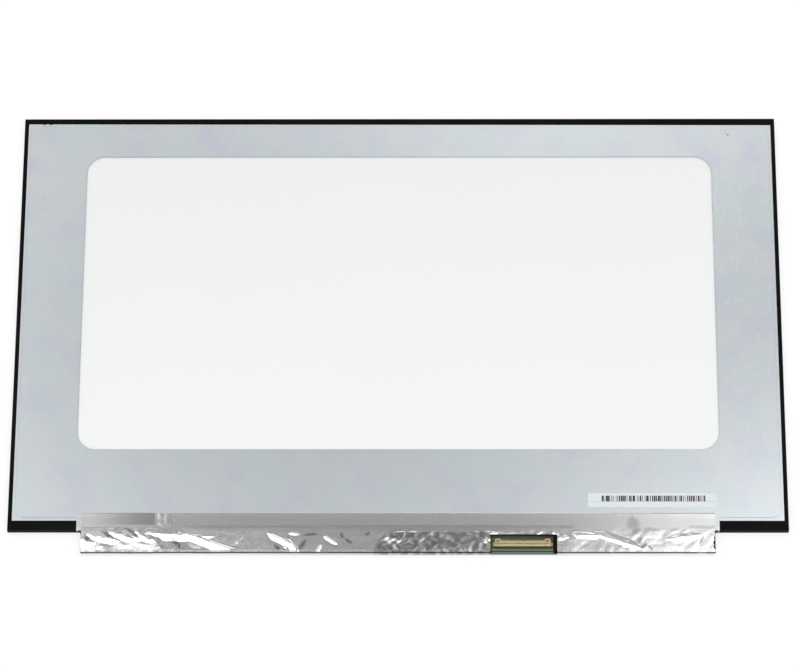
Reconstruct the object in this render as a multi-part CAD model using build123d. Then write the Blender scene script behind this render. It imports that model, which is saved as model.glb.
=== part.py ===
from build123d import *

import os
from random import Random

# A slim back-lit display panel for a laptop, 15.6 inch class, lying with its screen down.
# Seen from the back, +X points right and +Y to the panel's top edge. +Z points from the screen to the back.
# The origin is the middle of the footprint, on the screen's face. Sizes are in millimetres and degrees.

# Panel outline over the edge tape, and the borders between it and the picture
PANEL_WIDTH = 350.66
PANEL_HEIGHT = 205.25
SIDE_BORDER = 3.25
TOP_BORDER = 3.25
BOTTOM_BORDER = 8.41

# Thickness of each layer, from the screen's face upwards
POLARIZER = 0.13
FILTER_GLASS = 0.5
ARRAY_GLASS = 0.5
RIM_TAPE = 0.13
FRAME_LIP = 0.4
SHEET_PLAY = 0.04
PRISM_SHEET = 0.13
DIFFUSER_SHEET = 0.12
LIGHT_GUIDE = 0.5
REFLECTOR = 0.15
CHASSIS_SHEET = 0.25
FIELD_RISE = 0.12
EDGE_TAPE = 0.06

# Liquid-crystal cell: margins are measured out from the picture, insets in from the next piece's edge
GLASS_INSET = 0.35
DRIVER_LEDGE = 3.9
FRONT_POLARIZER_MARGIN = 1.0
REAR_POLARIZER_MARGIN = 0.3
LIP_MARGIN = 0.5
RIM_TAPE_INSET = 0.3

# Light guide, its sheets and the ears that locate them
GUIDE_MARGIN = 0.9
SHEET_MARGIN = 0.7
GUIDE_PLAY = 0.15
EAR_DROP = 55.0
EAR_LENGTH = 6.0
EAR_REACH = 0.7

# Lamps along the lower edge, their flexible strip and its tail to the board
MIXING_DEPTH = 1.6
LED_GAP = 0.1
LED_COUNT = 40
LED_LENGTH = 3.0
LED_DEPTH = 1.0
LED_HEIGHT = 0.5
LED_RIM = 0.1
LED_END = 0.2
LED_RECESS = 0.15
FLEX = 0.12
FLEX_LAP = 2.8
FLEX_EDGE = 0.3
FLEX_PLAY = 0.2
TAIL_X = 98.0
TAIL_WIDTH = 9.0
TAIL_PLAY = 0.3
TAIL_DROP = 1.2
TAIL_FOOT = 1.6

# Moulded frame and the lugs that snap into the chassis walls
FRAME_PLAY = 0.05
LUG_LENGTH = 6.0
LUG_HEIGHT = 0.35
LUG_REACH = 0.2
LUG_PLAY = 0.15
LUGS_ON_TOP = 5
LUGS_ON_SIDE = 3

# Pressed chassis: insets and margins are measured in from the panel's outline
CHASSIS_WALL = 1.6
CHASSIS_BEND = 0.45
CORNER_RELIEF = 1.0
FIELD_SIDE_INSET = 3.1
FIELD_TOP_INSET = 4.3
FIELD_BOTTOM_INSET = 6.2
FIELD_RADIUS = 3.5
FIELD_DRAFT = 40.0
SKIRT_INSET = 1.5
SKIRT_MARGIN = 1.3
SKIRT_RADIUS = 1.8
WINDOW_SIDE_MARGIN = 30.0
WINDOW_TOP_MARGIN = 19.7
WINDOW_BOTTOM_MARGIN = 38.95
WINDOW_RADIUS = 8.4

# Edge tape: how far it laps onto the back and the front, a little askew along the top
SIDE_LAP = 1.9
TOP_LAP_LEFT = 2.6
TOP_LAP_RIGHT = 3.3
CORNER_LAP = 4.65
CORNER_TAPE_GAP = 2.2
FRONT_LAP = 1.5

# Drivers on the glass ledge, the strips that link them to the board, and the tape over them
DRIVER_COUNT = 4
DRIVER_LENGTH = 26.0
DRIVER_WIDTH = 1.0
DRIVER_HEIGHT = 0.3
DRIVER_GAP = 0.6
LINK_WIDTH = 34.0
LINK = 0.06
LINK_BOND = 1.2
LINK_REACH = 2.2
COVER_TAPE = 0.06
COVER_TAPE_LAP = 0.9
COVER_TAPE_GAP = 0.3

# Circuit board below the panel, and the parts on it
BOARD_LENGTH = 280.8
BOARD_DEPTH = 9.9
BOARD = 0.8
BOARD_CORNER = 0.4
BOARD_GAP = 0.8
PARTS_DROP = 4.2
CONTROLLER_X = 18.0
CONTROLLER_SIZE = 6.5
CONTROLLER_HEIGHT = 0.85
POWER_CHIP_X = 4.0
POWER_CHIP_SIZE = 4.0
MEMORY_X = 31.0
MEMORY_SIZE = 3.6
LIGHT_DRIVER_X = 82.0
LIGHT_DRIVER_SIZE = 3.5
CHIP_HEIGHT = 0.75
CHIP_BEVEL = 0.12
INDUCTOR_XS = (-5.0, 89.5)
INDUCTOR_SIZE = 4.2
INDUCTOR_HEIGHT = 1.0
INDUCTOR_CORNER = 0.8
CAPACITOR_LENGTH = 1.6
CAPACITOR_WIDTH = 0.8
CAPACITOR_HEIGHT = 0.8
CAPACITOR_CAP = 0.3
CAPACITOR_WAIST = 0.05
RESISTOR_LENGTH = 1.0
RESISTOR_WIDTH = 0.5
RESISTOR_HEIGHT = 0.35
SMALL_PART_GAP = 1.0
SMALL_PART_PITCH = 1.9
SMALL_PARTS_BESIDE = 3

# Signal socket: shielded, contacts at half-millimetre pitch, mouth towards the board's lower edge
SOCKET_X = 56.0
SOCKET_SETBACK = 3.7
CONTACT_COUNT = 40
CONTACT_PITCH = 0.5
CONTACT_WIDTH = 0.2
CONTACT = 0.1
CONTACT_PLAY = 0.03
CONTACT_FOOT = 0.5
CONTACT_KNEE = 0.25
CONTACT_RISE = 0.22
CONTACT_TIP_SETBACK = 0.25
CONTACT_TIP_RISE = 0.14
CONTACT_CREST_SETBACK = 0.75
CONTACT_CREST_RISE = 0.28
CONTACT_ROOT_SETBACK = 1.5
SHELL = 0.12
SHELL_END = 2.85
SHELL_DEPTH = 3.1
SHELL_HEIGHT = 1.2
SHELL_FIT = 0.03
SHELL_GROOVE_SETBACK = 1.4
SHELL_GROOVE_WIDTH = 0.7
SHELL_GROOVE_DEPTH = 0.06
SHELL_TAIL_GATE = 0.7
EAR_PLATE_LENGTH = 3.0
EAR_PLATE_REACH = 0.75
EAR_PLATE_CORNER = 0.7
EAR_HOLE_RADIUS = 0.42
EAR_HOLE_SETBACK = 0.45
EAR_DISH_RADIUS = 0.95
EAR_DISH = 0.05
FOOT_REACH = 0.85
FOOT_LENGTH = 1.3
HOUSING_FLOOR = 0.4
HOUSING_BACK = 0.9
HOUSING_CHEEK = 0.6
HOUSING_SILL = 0.65

# Black film and crinkled foil over the board
INSULATION = 0.05
INSULATION_END = 0.15
FILM_WEB = 2.2
INSULATION_SHOWS_LEFT = 0.4
INSULATION_SHOWS_RIGHT = 1.7
INSULATION_SHOWS_TOP = 0.25
COVER_PLAY = 0.06
FOIL = 0.08
FOIL_END = 1.7
FOIL_LAP = 8.4
FOIL_SLACK = 0.12
FOIL_LIP = 4.0
FOIL_SHOULDER = 1.3
FOIL_SLOPE = 1.8
FOIL_TURN = 0.25
FOIL_COLUMNS = 60
FOIL_ROWS = 4
FOIL_CRINKLE = 0.26
FOIL_SHIFT = 0.3
FOIL_SEED = 11
CUT_OUT_LEFT = 1.0
CUT_OUT_RIGHT = 2.0
CUT_OUT_TOP = 1.05

# Label on the chassis
LABEL = 0.05
LABEL_LENGTH = 57.9
LABEL_HEIGHT = 6.7
LABEL_SIDE_MARGIN = 31.9
LABEL_GAP = 2.7

# Places across and along the panel
OUTLINE_HEIGHT = PANEL_HEIGHT + BOARD_GAP + BOARD_DEPTH + FOIL_SLACK + FOIL
SIDE = PANEL_WIDTH / 2
TOP = OUTLINE_HEIGHT / 2
BOTTOM = TOP - PANEL_HEIGHT
PICTURE_SIDE = SIDE - SIDE_BORDER
PICTURE_TOP = TOP - TOP_BORDER
PICTURE_BOTTOM = BOTTOM + BOTTOM_BORDER
CHASSIS_SIDE = SIDE - EDGE_TAPE
CHASSIS_TOP = TOP - EDGE_TAPE
CHASSIS_BOTTOM = BOTTOM + EDGE_TAPE
GLASS_SIDE = CHASSIS_SIDE - GLASS_INSET
GLASS_TOP = CHASSIS_TOP - GLASS_INSET
GLASS_BOTTOM = CHASSIS_BOTTOM + GLASS_INSET
LEDGE_TOP = GLASS_BOTTOM + DRIVER_LEDGE
FRAME_INSET = CHASSIS_SHEET + FRAME_PLAY
FRAME_SIDE = CHASSIS_SIDE - FRAME_INSET
FRAME_TOP = CHASSIS_TOP - FRAME_INSET
FRAME_BOTTOM = CHASSIS_BOTTOM + FRAME_INSET
GUIDE_SIDE = PICTURE_SIDE + GUIDE_MARGIN
GUIDE_TOP = PICTURE_TOP + GUIDE_MARGIN
GUIDE_BOTTOM = PICTURE_BOTTOM - MIXING_DEPTH
EAR_TIP = GUIDE_SIDE + EAR_REACH
EAR_Y = TOP - EAR_DROP
LED_FACE = GUIDE_BOTTOM - LED_GAP
FLEX_TOP = GUIDE_BOTTOM + FLEX_LAP
FLEX_BOTTOM = LED_FACE - LED_DEPTH - FLEX_EDGE
FLEX_SIDE = PICTURE_SIDE
BOARD_SIDE = BOARD_LENGTH / 2
BOARD_TOP = BOTTOM - BOARD_GAP
BOARD_BOTTOM = BOARD_TOP - BOARD_DEPTH
PARTS_LINE = BOARD_TOP - PARTS_DROP
FOIL_SIDE = BOARD_SIDE + FOIL_END
FOIL_TOP = BOTTOM + FOIL_LAP
CREASE = BOTTOM + SKIRT_INSET
CONTACT_SPAN = (CONTACT_COUNT - 1) * CONTACT_PITCH
SHELL_SIDE = CONTACT_SPAN / 2 + SHELL_END
SHELL_BACK = BOARD_TOP - SOCKET_SETBACK
SHELL_FRONT = SHELL_BACK - SHELL_DEPTH
SOCKET_REACH = SHELL_SIDE + FOOT_REACH
CUT_OUT_X = (SOCKET_X - SOCKET_REACH - CUT_OUT_LEFT, SOCKET_X + SOCKET_REACH + CUT_OUT_RIGHT)
CUT_OUT_Y = BOARD_TOP - CUT_OUT_TOP

# Heights of the layers
Z_FILTER = POLARIZER
Z_ARRAY = Z_FILTER + FILTER_GLASS
Z_ARRAY_BACK = Z_ARRAY + ARRAY_GLASS
Z_SEAT = Z_ARRAY_BACK + RIM_TAPE
Z_LIP = Z_SEAT + FRAME_LIP
Z_UPPER_PRISM = Z_LIP + SHEET_PLAY
Z_LOWER_PRISM = Z_UPPER_PRISM + PRISM_SHEET
Z_DIFFUSER = Z_LOWER_PRISM + PRISM_SHEET
Z_GUIDE = Z_DIFFUSER + DIFFUSER_SHEET
Z_GUIDE_BACK = Z_GUIDE + LIGHT_GUIDE
Z_RIM_INNER = Z_GUIDE_BACK + REFLECTOR
Z_RIM_BACK = Z_RIM_INNER + CHASSIS_SHEET
Z_FIELD_BACK = Z_RIM_BACK + FIELD_RISE
Z_BOARD = Z_ARRAY + BOARD
Z_LUG = (Z_LIP + Z_GUIDE_BACK) / 2
TALLEST_PART = max(INDUCTOR_HEIGHT, CONTROLLER_HEIGHT, CHIP_HEIGHT, CAPACITOR_HEIGHT)
Z_COVER = Z_BOARD + TALLEST_PART + COVER_PLAY
Z_FOIL = Z_COVER + INSULATION + COVER_PLAY
Z_SHOULDER = Z_FOIL + (Z_RIM_BACK - Z_FOIL) / 2
SHELL_TOP = Z_BOARD + SHELL_HEIGHT


def slab(x, y, z):
    """A block between the low and high values given for each axis."""
    centre = Pos((x[0] + x[1]) / 2, (y[0] + y[1]) / 2, (z[0] + z[1]) / 2)
    return centre * Box(x[1] - x[0], y[1] - y[0], z[1] - z[0])


def about(middle, length):
    """The low and high values of a length centred on a place."""
    return (middle - length / 2, middle + length / 2)


def across(side):
    """The low and high values of a length centred on the panel's middle line."""
    return (-side, side)


def field(x, y, radius=0.0):
    """A flat rectangle between low and high values, with round corners if asked."""
    width = x[1] - x[0]
    height = y[1] - y[0]
    shape = RectangleRounded(width, height, radius) if radius else Rectangle(width, height)
    return Pos((x[0] + x[1]) / 2, (y[0] + y[1]) / 2) * shape


def plate(outline, z, thickness):
    """A flat outline raised to a height and given a thickness upwards."""
    return extrude(Pos(0, 0, z) * outline, thickness)


def offset_profile(points, distance):
    """The (y, z) points of a bent line moved to its left by a distance, with mitred corners."""
    path = [Vector(y, z) for y, z in points]
    normals = [(b - a).normalized().rotate(Axis.Z, 90) for a, b in zip(path, path[1:])]
    before = [normals[0]] + normals
    after = normals + [normals[-1]]
    moved = [p + (m + n) * (distance / (1 + m.dot(n))) for p, m, n in zip(path, before, after)]
    return [(p.X, p.Y) for p in moved]


def ribbon(points, thickness, x):
    """A sheet bent along (y, z) points, thickened to the left of its path, between two values of x."""
    outline = list(points) + offset_profile(points, thickness)[::-1]
    section = Plane.YZ.offset(x[0]) * Polygon(*outline, align=None)
    return extrude(section, x[1] - x[0], dir=(1, 0, 0))


def spread(count, length):
    """The middles of equal shares of a length centred on zero."""
    return [(i - (count - 1) / 2) * length / count for i in range(count)]


def front_polarizer():
    """Polarizing film on the screen's face."""
    margin = FRONT_POLARIZER_MARGIN
    outline = field(across(PICTURE_SIDE + margin), (PICTURE_BOTTOM - margin, PICTURE_TOP + margin))
    return plate(outline, 0, POLARIZER)


def colour_filter_glass():
    """Front pane of the liquid-crystal cell, shorter than the rear pane by the driver ledge."""
    return plate(field(across(GLASS_SIDE), (LEDGE_TOP, GLASS_TOP)), Z_FILTER, FILTER_GLASS)


def array_glass():
    """Rear pane of the liquid-crystal cell."""
    return plate(field(across(GLASS_SIDE), (GLASS_BOTTOM, GLASS_TOP)), Z_ARRAY, ARRAY_GLASS)


def rear_polarizer():
    """Polarizing film behind the cell."""
    margin = REAR_POLARIZER_MARGIN
    outline = field(across(PICTURE_SIDE + margin), (PICTURE_BOTTOM - margin, PICTURE_TOP + margin))
    return plate(outline, Z_ARRAY_BACK, POLARIZER)


def lip_opening():
    """The opening round the picture that the frame's lip and the rim tape share."""
    return field(across(PICTURE_SIDE + LIP_MARGIN), (PICTURE_BOTTOM - LIP_MARGIN, PICTURE_TOP + LIP_MARGIN))


def rim_tape():
    """Tape ring that holds the cell to the frame's lip."""
    inset = RIM_TAPE_INSET
    outline = field(across(GLASS_SIDE - inset), (GLASS_BOTTOM + inset, GLASS_TOP - inset))
    return plate(outline - lip_opening(), Z_ARRAY_BACK, RIM_TAPE)


def tail_passage(z):
    """The space that the lamp strip's tail needs where it leaves through the lower edge."""
    x = about(TAIL_X, TAIL_WIDTH + 2 * TAIL_PLAY)
    return slab(x, (BOARD_TOP, FLEX_BOTTOM + FLEX_PLAY), z)


def lugs(play, depth):
    """The snap lugs on the frame's top and sides, grown by a play and reaching a depth from its walls."""
    size = LUG_LENGTH + 2 * play
    z = about(Z_LUG, LUG_HEIGHT + 2 * play)
    middle = (FRAME_TOP + FRAME_BOTTOM) / 2
    found = []
    for x in spread(LUGS_ON_TOP, 2 * FRAME_SIDE):
        found.append(slab(about(x, size), (FRAME_TOP, FRAME_TOP + depth), z))
    for y in spread(LUGS_ON_SIDE, FRAME_TOP - FRAME_BOTTOM):
        found.append(slab((FRAME_SIDE, FRAME_SIDE + depth), about(middle + y, size), z))
        found.append(slab((-FRAME_SIDE - depth, -FRAME_SIDE), about(middle + y, size), z))
    return found


def mould_frame():
    """Moulded ring: a lip that carries the cell, a pocket for the light guide and lamps, and snap lugs."""
    top = Z_RIM_INNER - FRAME_PLAY
    body = slab(across(FRAME_SIDE), (FRAME_BOTTOM, FRAME_TOP), (Z_SEAT, top))
    body = chamfer(body.faces().sort_by(Axis.Z)[-1].edges(), CHASSIS_BEND - CHASSIS_SHEET)
    pocket = field(across(GUIDE_SIDE + GUIDE_PLAY), (FLEX_BOTTOM - FLEX_PLAY, GUIDE_TOP + GUIDE_PLAY))
    ears = field(across(EAR_TIP + GUIDE_PLAY), about(EAR_Y, EAR_LENGTH + 2 * GUIDE_PLAY))
    body -= plate(pocket + ears, Z_LIP, top - Z_LIP)
    body -= plate(lip_opening(), Z_SEAT, FRAME_LIP)
    body -= tail_passage((Z_GUIDE_BACK - TAIL_PLAY, top))
    return body + lugs(0, LUG_REACH)


def eared_sheet(margin, bottom, z, thickness):
    """A sheet over the picture, with an ear on each side that locates it in the frame."""
    body = field(across(PICTURE_SIDE + margin), (bottom, PICTURE_TOP + margin))
    ears = field(across(EAR_TIP), about(EAR_Y, EAR_LENGTH))
    return plate(body + ears, z, thickness)


def upper_prism_sheet():
    """Prism sheet next to the cell."""
    return eared_sheet(SHEET_MARGIN, PICTURE_BOTTOM - SHEET_MARGIN, Z_UPPER_PRISM, PRISM_SHEET)


def lower_prism_sheet():
    """Prism sheet next to the diffuser."""
    return eared_sheet(SHEET_MARGIN, PICTURE_BOTTOM - SHEET_MARGIN, Z_LOWER_PRISM, PRISM_SHEET)


def diffuser_sheet():
    """Diffuser between the prism sheets and the light guide."""
    return eared_sheet(SHEET_MARGIN, PICTURE_BOTTOM - SHEET_MARGIN, Z_DIFFUSER, DIFFUSER_SHEET)


def light_guide_plate():
    """Clear plate that takes light in at its lower edge."""
    return eared_sheet(GUIDE_MARGIN, GUIDE_BOTTOM, Z_GUIDE, LIGHT_GUIDE)


def reflector_sheet():
    """White sheet behind the light guide, seen through the chassis window."""
    return eared_sheet(GUIDE_MARGIN, FLEX_TOP + FLEX_PLAY, Z_GUIDE_BACK, REFLECTOR)


def led_packages():
    """Side-facing lamps, each with a recessed window towards the light guide."""
    back = LED_FACE - LED_DEPTH
    z = (Z_GUIDE_BACK - LED_HEIGHT, Z_GUIDE_BACK)
    window_z = (z[0] + LED_RIM, z[1] - LED_RIM)
    lamps = []
    for x in spread(LED_COUNT, 2 * PICTURE_SIDE):
        body = slab(about(x, LED_LENGTH), (back, LED_FACE), z)
        window_x = about(x, LED_LENGTH - 2 * LED_END)
        window = slab(window_x, (LED_FACE - LED_RECESS, LED_FACE), window_z)
        lamps.append(body - window)
    return lamps


def light_bar_flex():
    """Flexible strip behind the lamps, with a tail that steps down onto the board."""
    strip = plate(field(across(FLEX_SIDE), (FLEX_BOTTOM, FLEX_TOP)), Z_GUIDE_BACK, FLEX)
    landing = BOARD_TOP - TAIL_DROP
    path = [
        (landing - TAIL_FOOT, Z_BOARD),
        (landing, Z_BOARD),
        (CHASSIS_BOTTOM - FRAME_PLAY, Z_GUIDE_BACK),
        (FLEX_BOTTOM, Z_GUIDE_BACK),
    ]
    return strip + ribbon(path, FLEX, about(TAIL_X, TAIL_WIDTH))


def folded_tray():
    """Sheet tray with rounded bends along its four edges and open corners."""
    low = Z_RIM_BACK - CHASSIS_WALL
    outer = slab(across(CHASSIS_SIDE), (CHASSIS_BOTTOM, CHASSIS_TOP), (low, Z_RIM_BACK))
    outer = fillet(outer.faces().sort_by(Axis.Z)[-1].edges(), CHASSIS_BEND)
    inner_y = (CHASSIS_BOTTOM + CHASSIS_SHEET, CHASSIS_TOP - CHASSIS_SHEET)
    inner = slab(across(CHASSIS_SIDE - CHASSIS_SHEET), inner_y, (low, Z_RIM_INNER))
    inner = fillet(inner.faces().sort_by(Axis.Z)[-1].edges(), CHASSIS_BEND - CHASSIS_SHEET)
    tray = outer - inner
    relief_z = (low, Z_RIM_BACK - CHASSIS_BEND)
    for x in across(CHASSIS_SIDE):
        for y in (CHASSIS_BOTTOM, CHASSIS_TOP):
            tray -= slab(about(x, 2 * CORNER_RELIEF), about(y, 2 * CORNER_RELIEF), relief_z)
    return tray


def raised_field():
    """Outline of the chassis's raised field, with a skirt that runs lower under the foil."""
    side = SIDE - FIELD_SIDE_INSET
    skirt = FOIL_SIDE + SKIRT_MARGIN
    low = BOTTOM + FIELD_BOTTOM_INSET
    high = TOP - FIELD_TOP_INSET
    corners = [
        (side, low), (side, high), (-side, high), (-side, low),
        (-skirt, low), (-skirt, CREASE), (skirt, CREASE), (skirt, low),
    ]
    radii = [FIELD_RADIUS] * 4 + [SKIRT_RADIUS] * 4
    return make_face(FilletPolyline(*corners, radius=radii, close=True))


def rear_chassis():
    """Folded tray with a pressed field, a large rounded window, snap holes and a gap for the tail."""
    outline = raised_field()
    pressing = extrude(Pos(0, 0, Z_RIM_BACK) * outline, FIELD_RISE, taper=FIELD_DRAFT)
    hollow = plate(offset(outline, -CHASSIS_SHEET), Z_RIM_INNER, FIELD_RISE)
    window_y = (BOTTOM + WINDOW_BOTTOM_MARGIN, TOP - WINDOW_TOP_MARGIN)
    window = field(across(SIDE - WINDOW_SIDE_MARGIN), window_y, WINDOW_RADIUS)
    chassis = folded_tray() + pressing - hollow
    chassis -= plate(window, Z_RIM_INNER, Z_FIELD_BACK - Z_RIM_INNER)
    chassis -= lugs(LUG_PLAY, FRAME_INSET)
    return chassis - tail_passage((Z_RIM_BACK - CHASSIS_WALL, Z_RIM_INNER))


def tape_skin():
    """Thin skin round the panel's edges, open inside its laps at the back and at the front."""
    core = slab(across(CHASSIS_SIDE), (CHASSIS_BOTTOM, CHASSIS_TOP), (Z_FILTER, Z_RIM_BACK))
    skin = slab(across(SIDE), (BOTTOM, TOP), (Z_FILTER - EDGE_TAPE, Z_RIM_BACK + EDGE_TAPE)) - core
    inner = SIDE - SIDE_LAP
    low = BOTTOM + CORNER_LAP
    left, right = TOP - TOP_LAP_LEFT, TOP - TOP_LAP_RIGHT
    back = Polygon((-inner, low), (inner, low), (inner, right), (-inner, left), align=None)
    front = field(across(SIDE - FRONT_LAP), (BOTTOM, TOP - FRONT_LAP))
    return skin - plate(back, Z_RIM_BACK, EDGE_TAPE) - plate(front, Z_FILTER - EDGE_TAPE, EDGE_TAPE)


def edge_tapes():
    """Tape folded round the panel's edges: top, left and right strips and two wider lower corners."""
    skin = tape_skin()
    z = (0, Z_FIELD_BACK)
    left, right = TOP - TOP_LAP_LEFT, TOP - TOP_LAP_RIGHT
    low = BOTTOM + CORNER_LAP
    inner = SIDE - SIDE_LAP
    lower_edge = ((-SIDE, left), (-inner, left), (inner, right), (SIDE, right))
    strip = plate(Polygon(*lower_edge, (SIDE, TOP), (-SIDE, TOP), align=None), z[0], z[1])
    below = skin - strip
    corner = FOIL_SIDE + CORNER_TAPE_GAP
    return {
        "top_edge_tape": skin & strip,
        "left_edge_tape": below & slab((-SIDE, 0), (low, TOP), z),
        "right_edge_tape": below & slab((0, SIDE), (low, TOP), z),
        "left_corner_tape": below & slab((-SIDE, -corner), (BOTTOM, low), z),
        "right_corner_tape": below & slab((corner, SIDE), (BOTTOM, low), z),
    }


def driver_chips():
    """Bare driver chips on the glass ledge, on the screen's side."""
    top = LEDGE_TOP - DRIVER_GAP
    y = (top - DRIVER_WIDTH, top)
    z = (Z_ARRAY - DRIVER_HEIGHT, Z_ARRAY)
    return [slab(about(x, DRIVER_LENGTH), y, z) for x in spread(DRIVER_COUNT, BOARD_LENGTH)]


def link_flexes():
    """Flat strips from the glass ledge to the board's screen side."""
    y = (BOARD_TOP - LINK_REACH, GLASS_BOTTOM + LINK_BOND)
    z = (Z_ARRAY - LINK, Z_ARRAY)
    return [slab(about(x, LINK_WIDTH), y, z) for x in spread(DRIVER_COUNT, BOARD_LENGTH)]


def driver_cover_tape():
    """Strip stuck along the filter glass that hides the ledge from the screen's side."""
    side = SIDE - FRONT_LAP - COVER_TAPE_GAP
    outline = field(across(side), (BOTTOM, LEDGE_TOP + COVER_TAPE_LAP))
    return plate(outline, Z_FILTER - COVER_TAPE, COVER_TAPE)


def circuit_board():
    """Long narrow board below the panel."""
    return plate(field(across(BOARD_SIDE), (BOARD_BOTTOM, BOARD_TOP), BOARD_CORNER), Z_ARRAY, BOARD)


def chip(x, size, height):
    """A square chip on the board with a bevelled upper edge."""
    body = slab(about(x, size), about(PARTS_LINE, size), (Z_BOARD, Z_BOARD + height))
    return chamfer(body.faces().sort_by(Axis.Z)[-1].edges(), CHIP_BEVEL)


def power_inductors():
    """Shielded coils: square blocks with rounded corners."""
    y = about(PARTS_LINE, INDUCTOR_SIZE)
    return [
        plate(field(about(x, INDUCTOR_SIZE), y, INDUCTOR_CORNER), Z_BOARD, INDUCTOR_HEIGHT)
        for x in INDUCTOR_XS
    ]


def beside_chips(side, width):
    """Middles of the small parts in a column beside each chip, left for side -1 and right for 1."""
    chips = (
        (CONTROLLER_X, CONTROLLER_SIZE),
        (POWER_CHIP_X, POWER_CHIP_SIZE),
        (MEMORY_X, MEMORY_SIZE),
        (LIGHT_DRIVER_X, LIGHT_DRIVER_SIZE),
    )
    columns = [x + side * (size / 2 + SMALL_PART_GAP + width / 2) for x, size in chips]
    rows = [PARTS_LINE + y for y in spread(SMALL_PARTS_BESIDE, SMALL_PARTS_BESIDE * SMALL_PART_PITCH)]
    return [(x, y) for x in columns for y in rows]


def ceramic_capacitors():
    """Small blocks with a waist between two end caps."""
    parts = []
    for x, y in beside_chips(-1, CAPACITOR_WIDTH):
        z = (Z_BOARD, Z_BOARD + CAPACITOR_HEIGHT)
        body = slab(about(x, CAPACITOR_WIDTH), about(y, CAPACITOR_LENGTH), z)
        waist = about(y, CAPACITOR_LENGTH - 2 * CAPACITOR_CAP)
        grip_x = about(x, CAPACITOR_WIDTH - 2 * CAPACITOR_WAIST)
        grip = slab(grip_x, waist, (z[0], z[1] - CAPACITOR_WAIST))
        parts.append(body - (slab(about(x, CAPACITOR_WIDTH), waist, z) - grip))
    return parts


def chip_resistors():
    """Flat resistors in a column to the right of each chip."""
    z = (Z_BOARD, Z_BOARD + RESISTOR_HEIGHT)
    spots = beside_chips(1, RESISTOR_WIDTH)
    return [slab(about(x, RESISTOR_WIDTH), about(y, RESISTOR_LENGTH), z) for x, y in spots]


def contact_places():
    """Middles of the contacts along the socket."""
    return [SOCKET_X + x for x in spread(CONTACT_COUNT, CONTACT_COUNT * CONTACT_PITCH)]


def shell_cup():
    """The stamped cover before its holes: top, back and end walls, bent with rounded edges."""
    y = (SHELL_FRONT, SHELL_BACK)
    block = slab(about(SOCKET_X, 2 * SHELL_SIDE), y, (Z_BOARD, SHELL_TOP))
    top = block.faces().sort_by(Axis.Z)[-1]
    block = fillet(top.edges().sort_by(Axis.Y)[1:], SHELL)
    inner_z = (Z_BOARD, SHELL_TOP - SHELL)
    return block - slab(about(SOCKET_X, 2 * (SHELL_SIDE - SHELL)), (y[0], y[1] - SHELL), inner_z)


def shell_end(side):
    """An ear that reaches back from the top and a foot on the board, on the left (-1) or right (1)."""
    outer = SOCKET_X + side * SHELL_SIDE
    inner = outer - side * EAR_PLATE_LENGTH
    ear_y = (SHELL_BACK - SHELL, SHELL_BACK + EAR_PLATE_REACH)
    ear = slab(sorted((inner, outer)), ear_y, (SHELL_TOP - SHELL, SHELL_TOP))
    ear = fillet(ear.edges().filter_by(Axis.Z).sort_by(Axis.Y)[-2:], EAR_PLATE_CORNER)
    foot_x = sorted((outer - side * SHELL, outer + side * FOOT_REACH))
    foot = slab(foot_x, about((SHELL_FRONT + SHELL_BACK) / 2, FOOT_LENGTH), (Z_BOARD, Z_BOARD + SHELL))
    return ear + foot


def socket_shell():
    """Stamped cover with a grooved top, ears with dished lock holes, feet, and a gate for contact tails."""
    shell = shell_cup() + shell_end(-1) + shell_end(1)
    gate = about(SOCKET_X, CONTACT_SPAN + 2 * HOUSING_CHEEK)
    shell -= slab(gate, (SHELL_BACK - SHELL, SHELL_BACK), (Z_BOARD, Z_BOARD + SHELL_TAIL_GATE))
    groove_top = SHELL_BACK - SHELL_GROOVE_SETBACK
    groove_y = (groove_top - SHELL_GROOVE_WIDTH, groove_top)
    shell -= slab(gate, groove_y, (SHELL_TOP - SHELL_GROOVE_DEPTH, SHELL_TOP))
    for side in (-1, 1):
        hole_x = SOCKET_X + side * (SHELL_SIDE - EAR_PLATE_LENGTH / 2)
        hole_y = SHELL_BACK - EAR_HOLE_SETBACK
        shell -= Pos(hole_x, hole_y, SHELL_TOP - EAR_DISH / 2) * Cylinder(EAR_DISH_RADIUS, EAR_DISH)
        shell -= Pos(hole_x, hole_y, SHELL_TOP - SHELL / 2) * Cylinder(EAR_HOLE_RADIUS, SHELL)
    return shell


def socket_housing():
    """Moulded trough under the cover: floor, sill, back wall, cheeks and a groove for each contact."""
    roof = SHELL_TOP - SHELL - SHELL_FIT
    side = SHELL_SIDE - SHELL - SHELL_FIT
    back = SHELL_BACK - SHELL - SHELL_FIT
    floor = Z_BOARD + HOUSING_FLOOR
    mouth = about(SOCKET_X, CONTACT_SPAN + 2 * HOUSING_CHEEK)
    housing = slab(about(SOCKET_X, 2 * side), (SHELL_FRONT, back), (Z_BOARD, roof))
    housing -= slab(mouth, (SHELL_FRONT, back - HOUSING_BACK), (floor, roof))
    housing += slab(mouth, (SHELL_FRONT - HOUSING_SILL, SHELL_FRONT), (Z_BOARD, floor))
    groove = CONTACT_WIDTH + 2 * CONTACT_PLAY
    groove_z = (Z_BOARD + CONTACT_RISE - CONTACT_PLAY, floor)
    return housing - [slab(about(x, groove), (SHELL_FRONT, back), groove_z) for x in contact_places()]


def socket_contacts():
    """Sprung contacts: a foot on the board, a run through the back wall and a raised tip in the mouth."""
    run = Z_BOARD + CONTACT_RISE
    foot = SHELL_BACK + CONTACT_KNEE
    path = [
        (SHELL_FRONT + CONTACT_TIP_SETBACK, run + CONTACT_TIP_RISE),
        (SHELL_FRONT + CONTACT_CREST_SETBACK, run + CONTACT_CREST_RISE),
        (SHELL_FRONT + CONTACT_ROOT_SETBACK, run),
        (SHELL_BACK, run),
        (foot, Z_BOARD),
        (foot + CONTACT_FOOT, Z_BOARD),
    ]
    return [ribbon(path, CONTACT, about(x, CONTACT_WIDTH)) for x in contact_places()]


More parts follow.
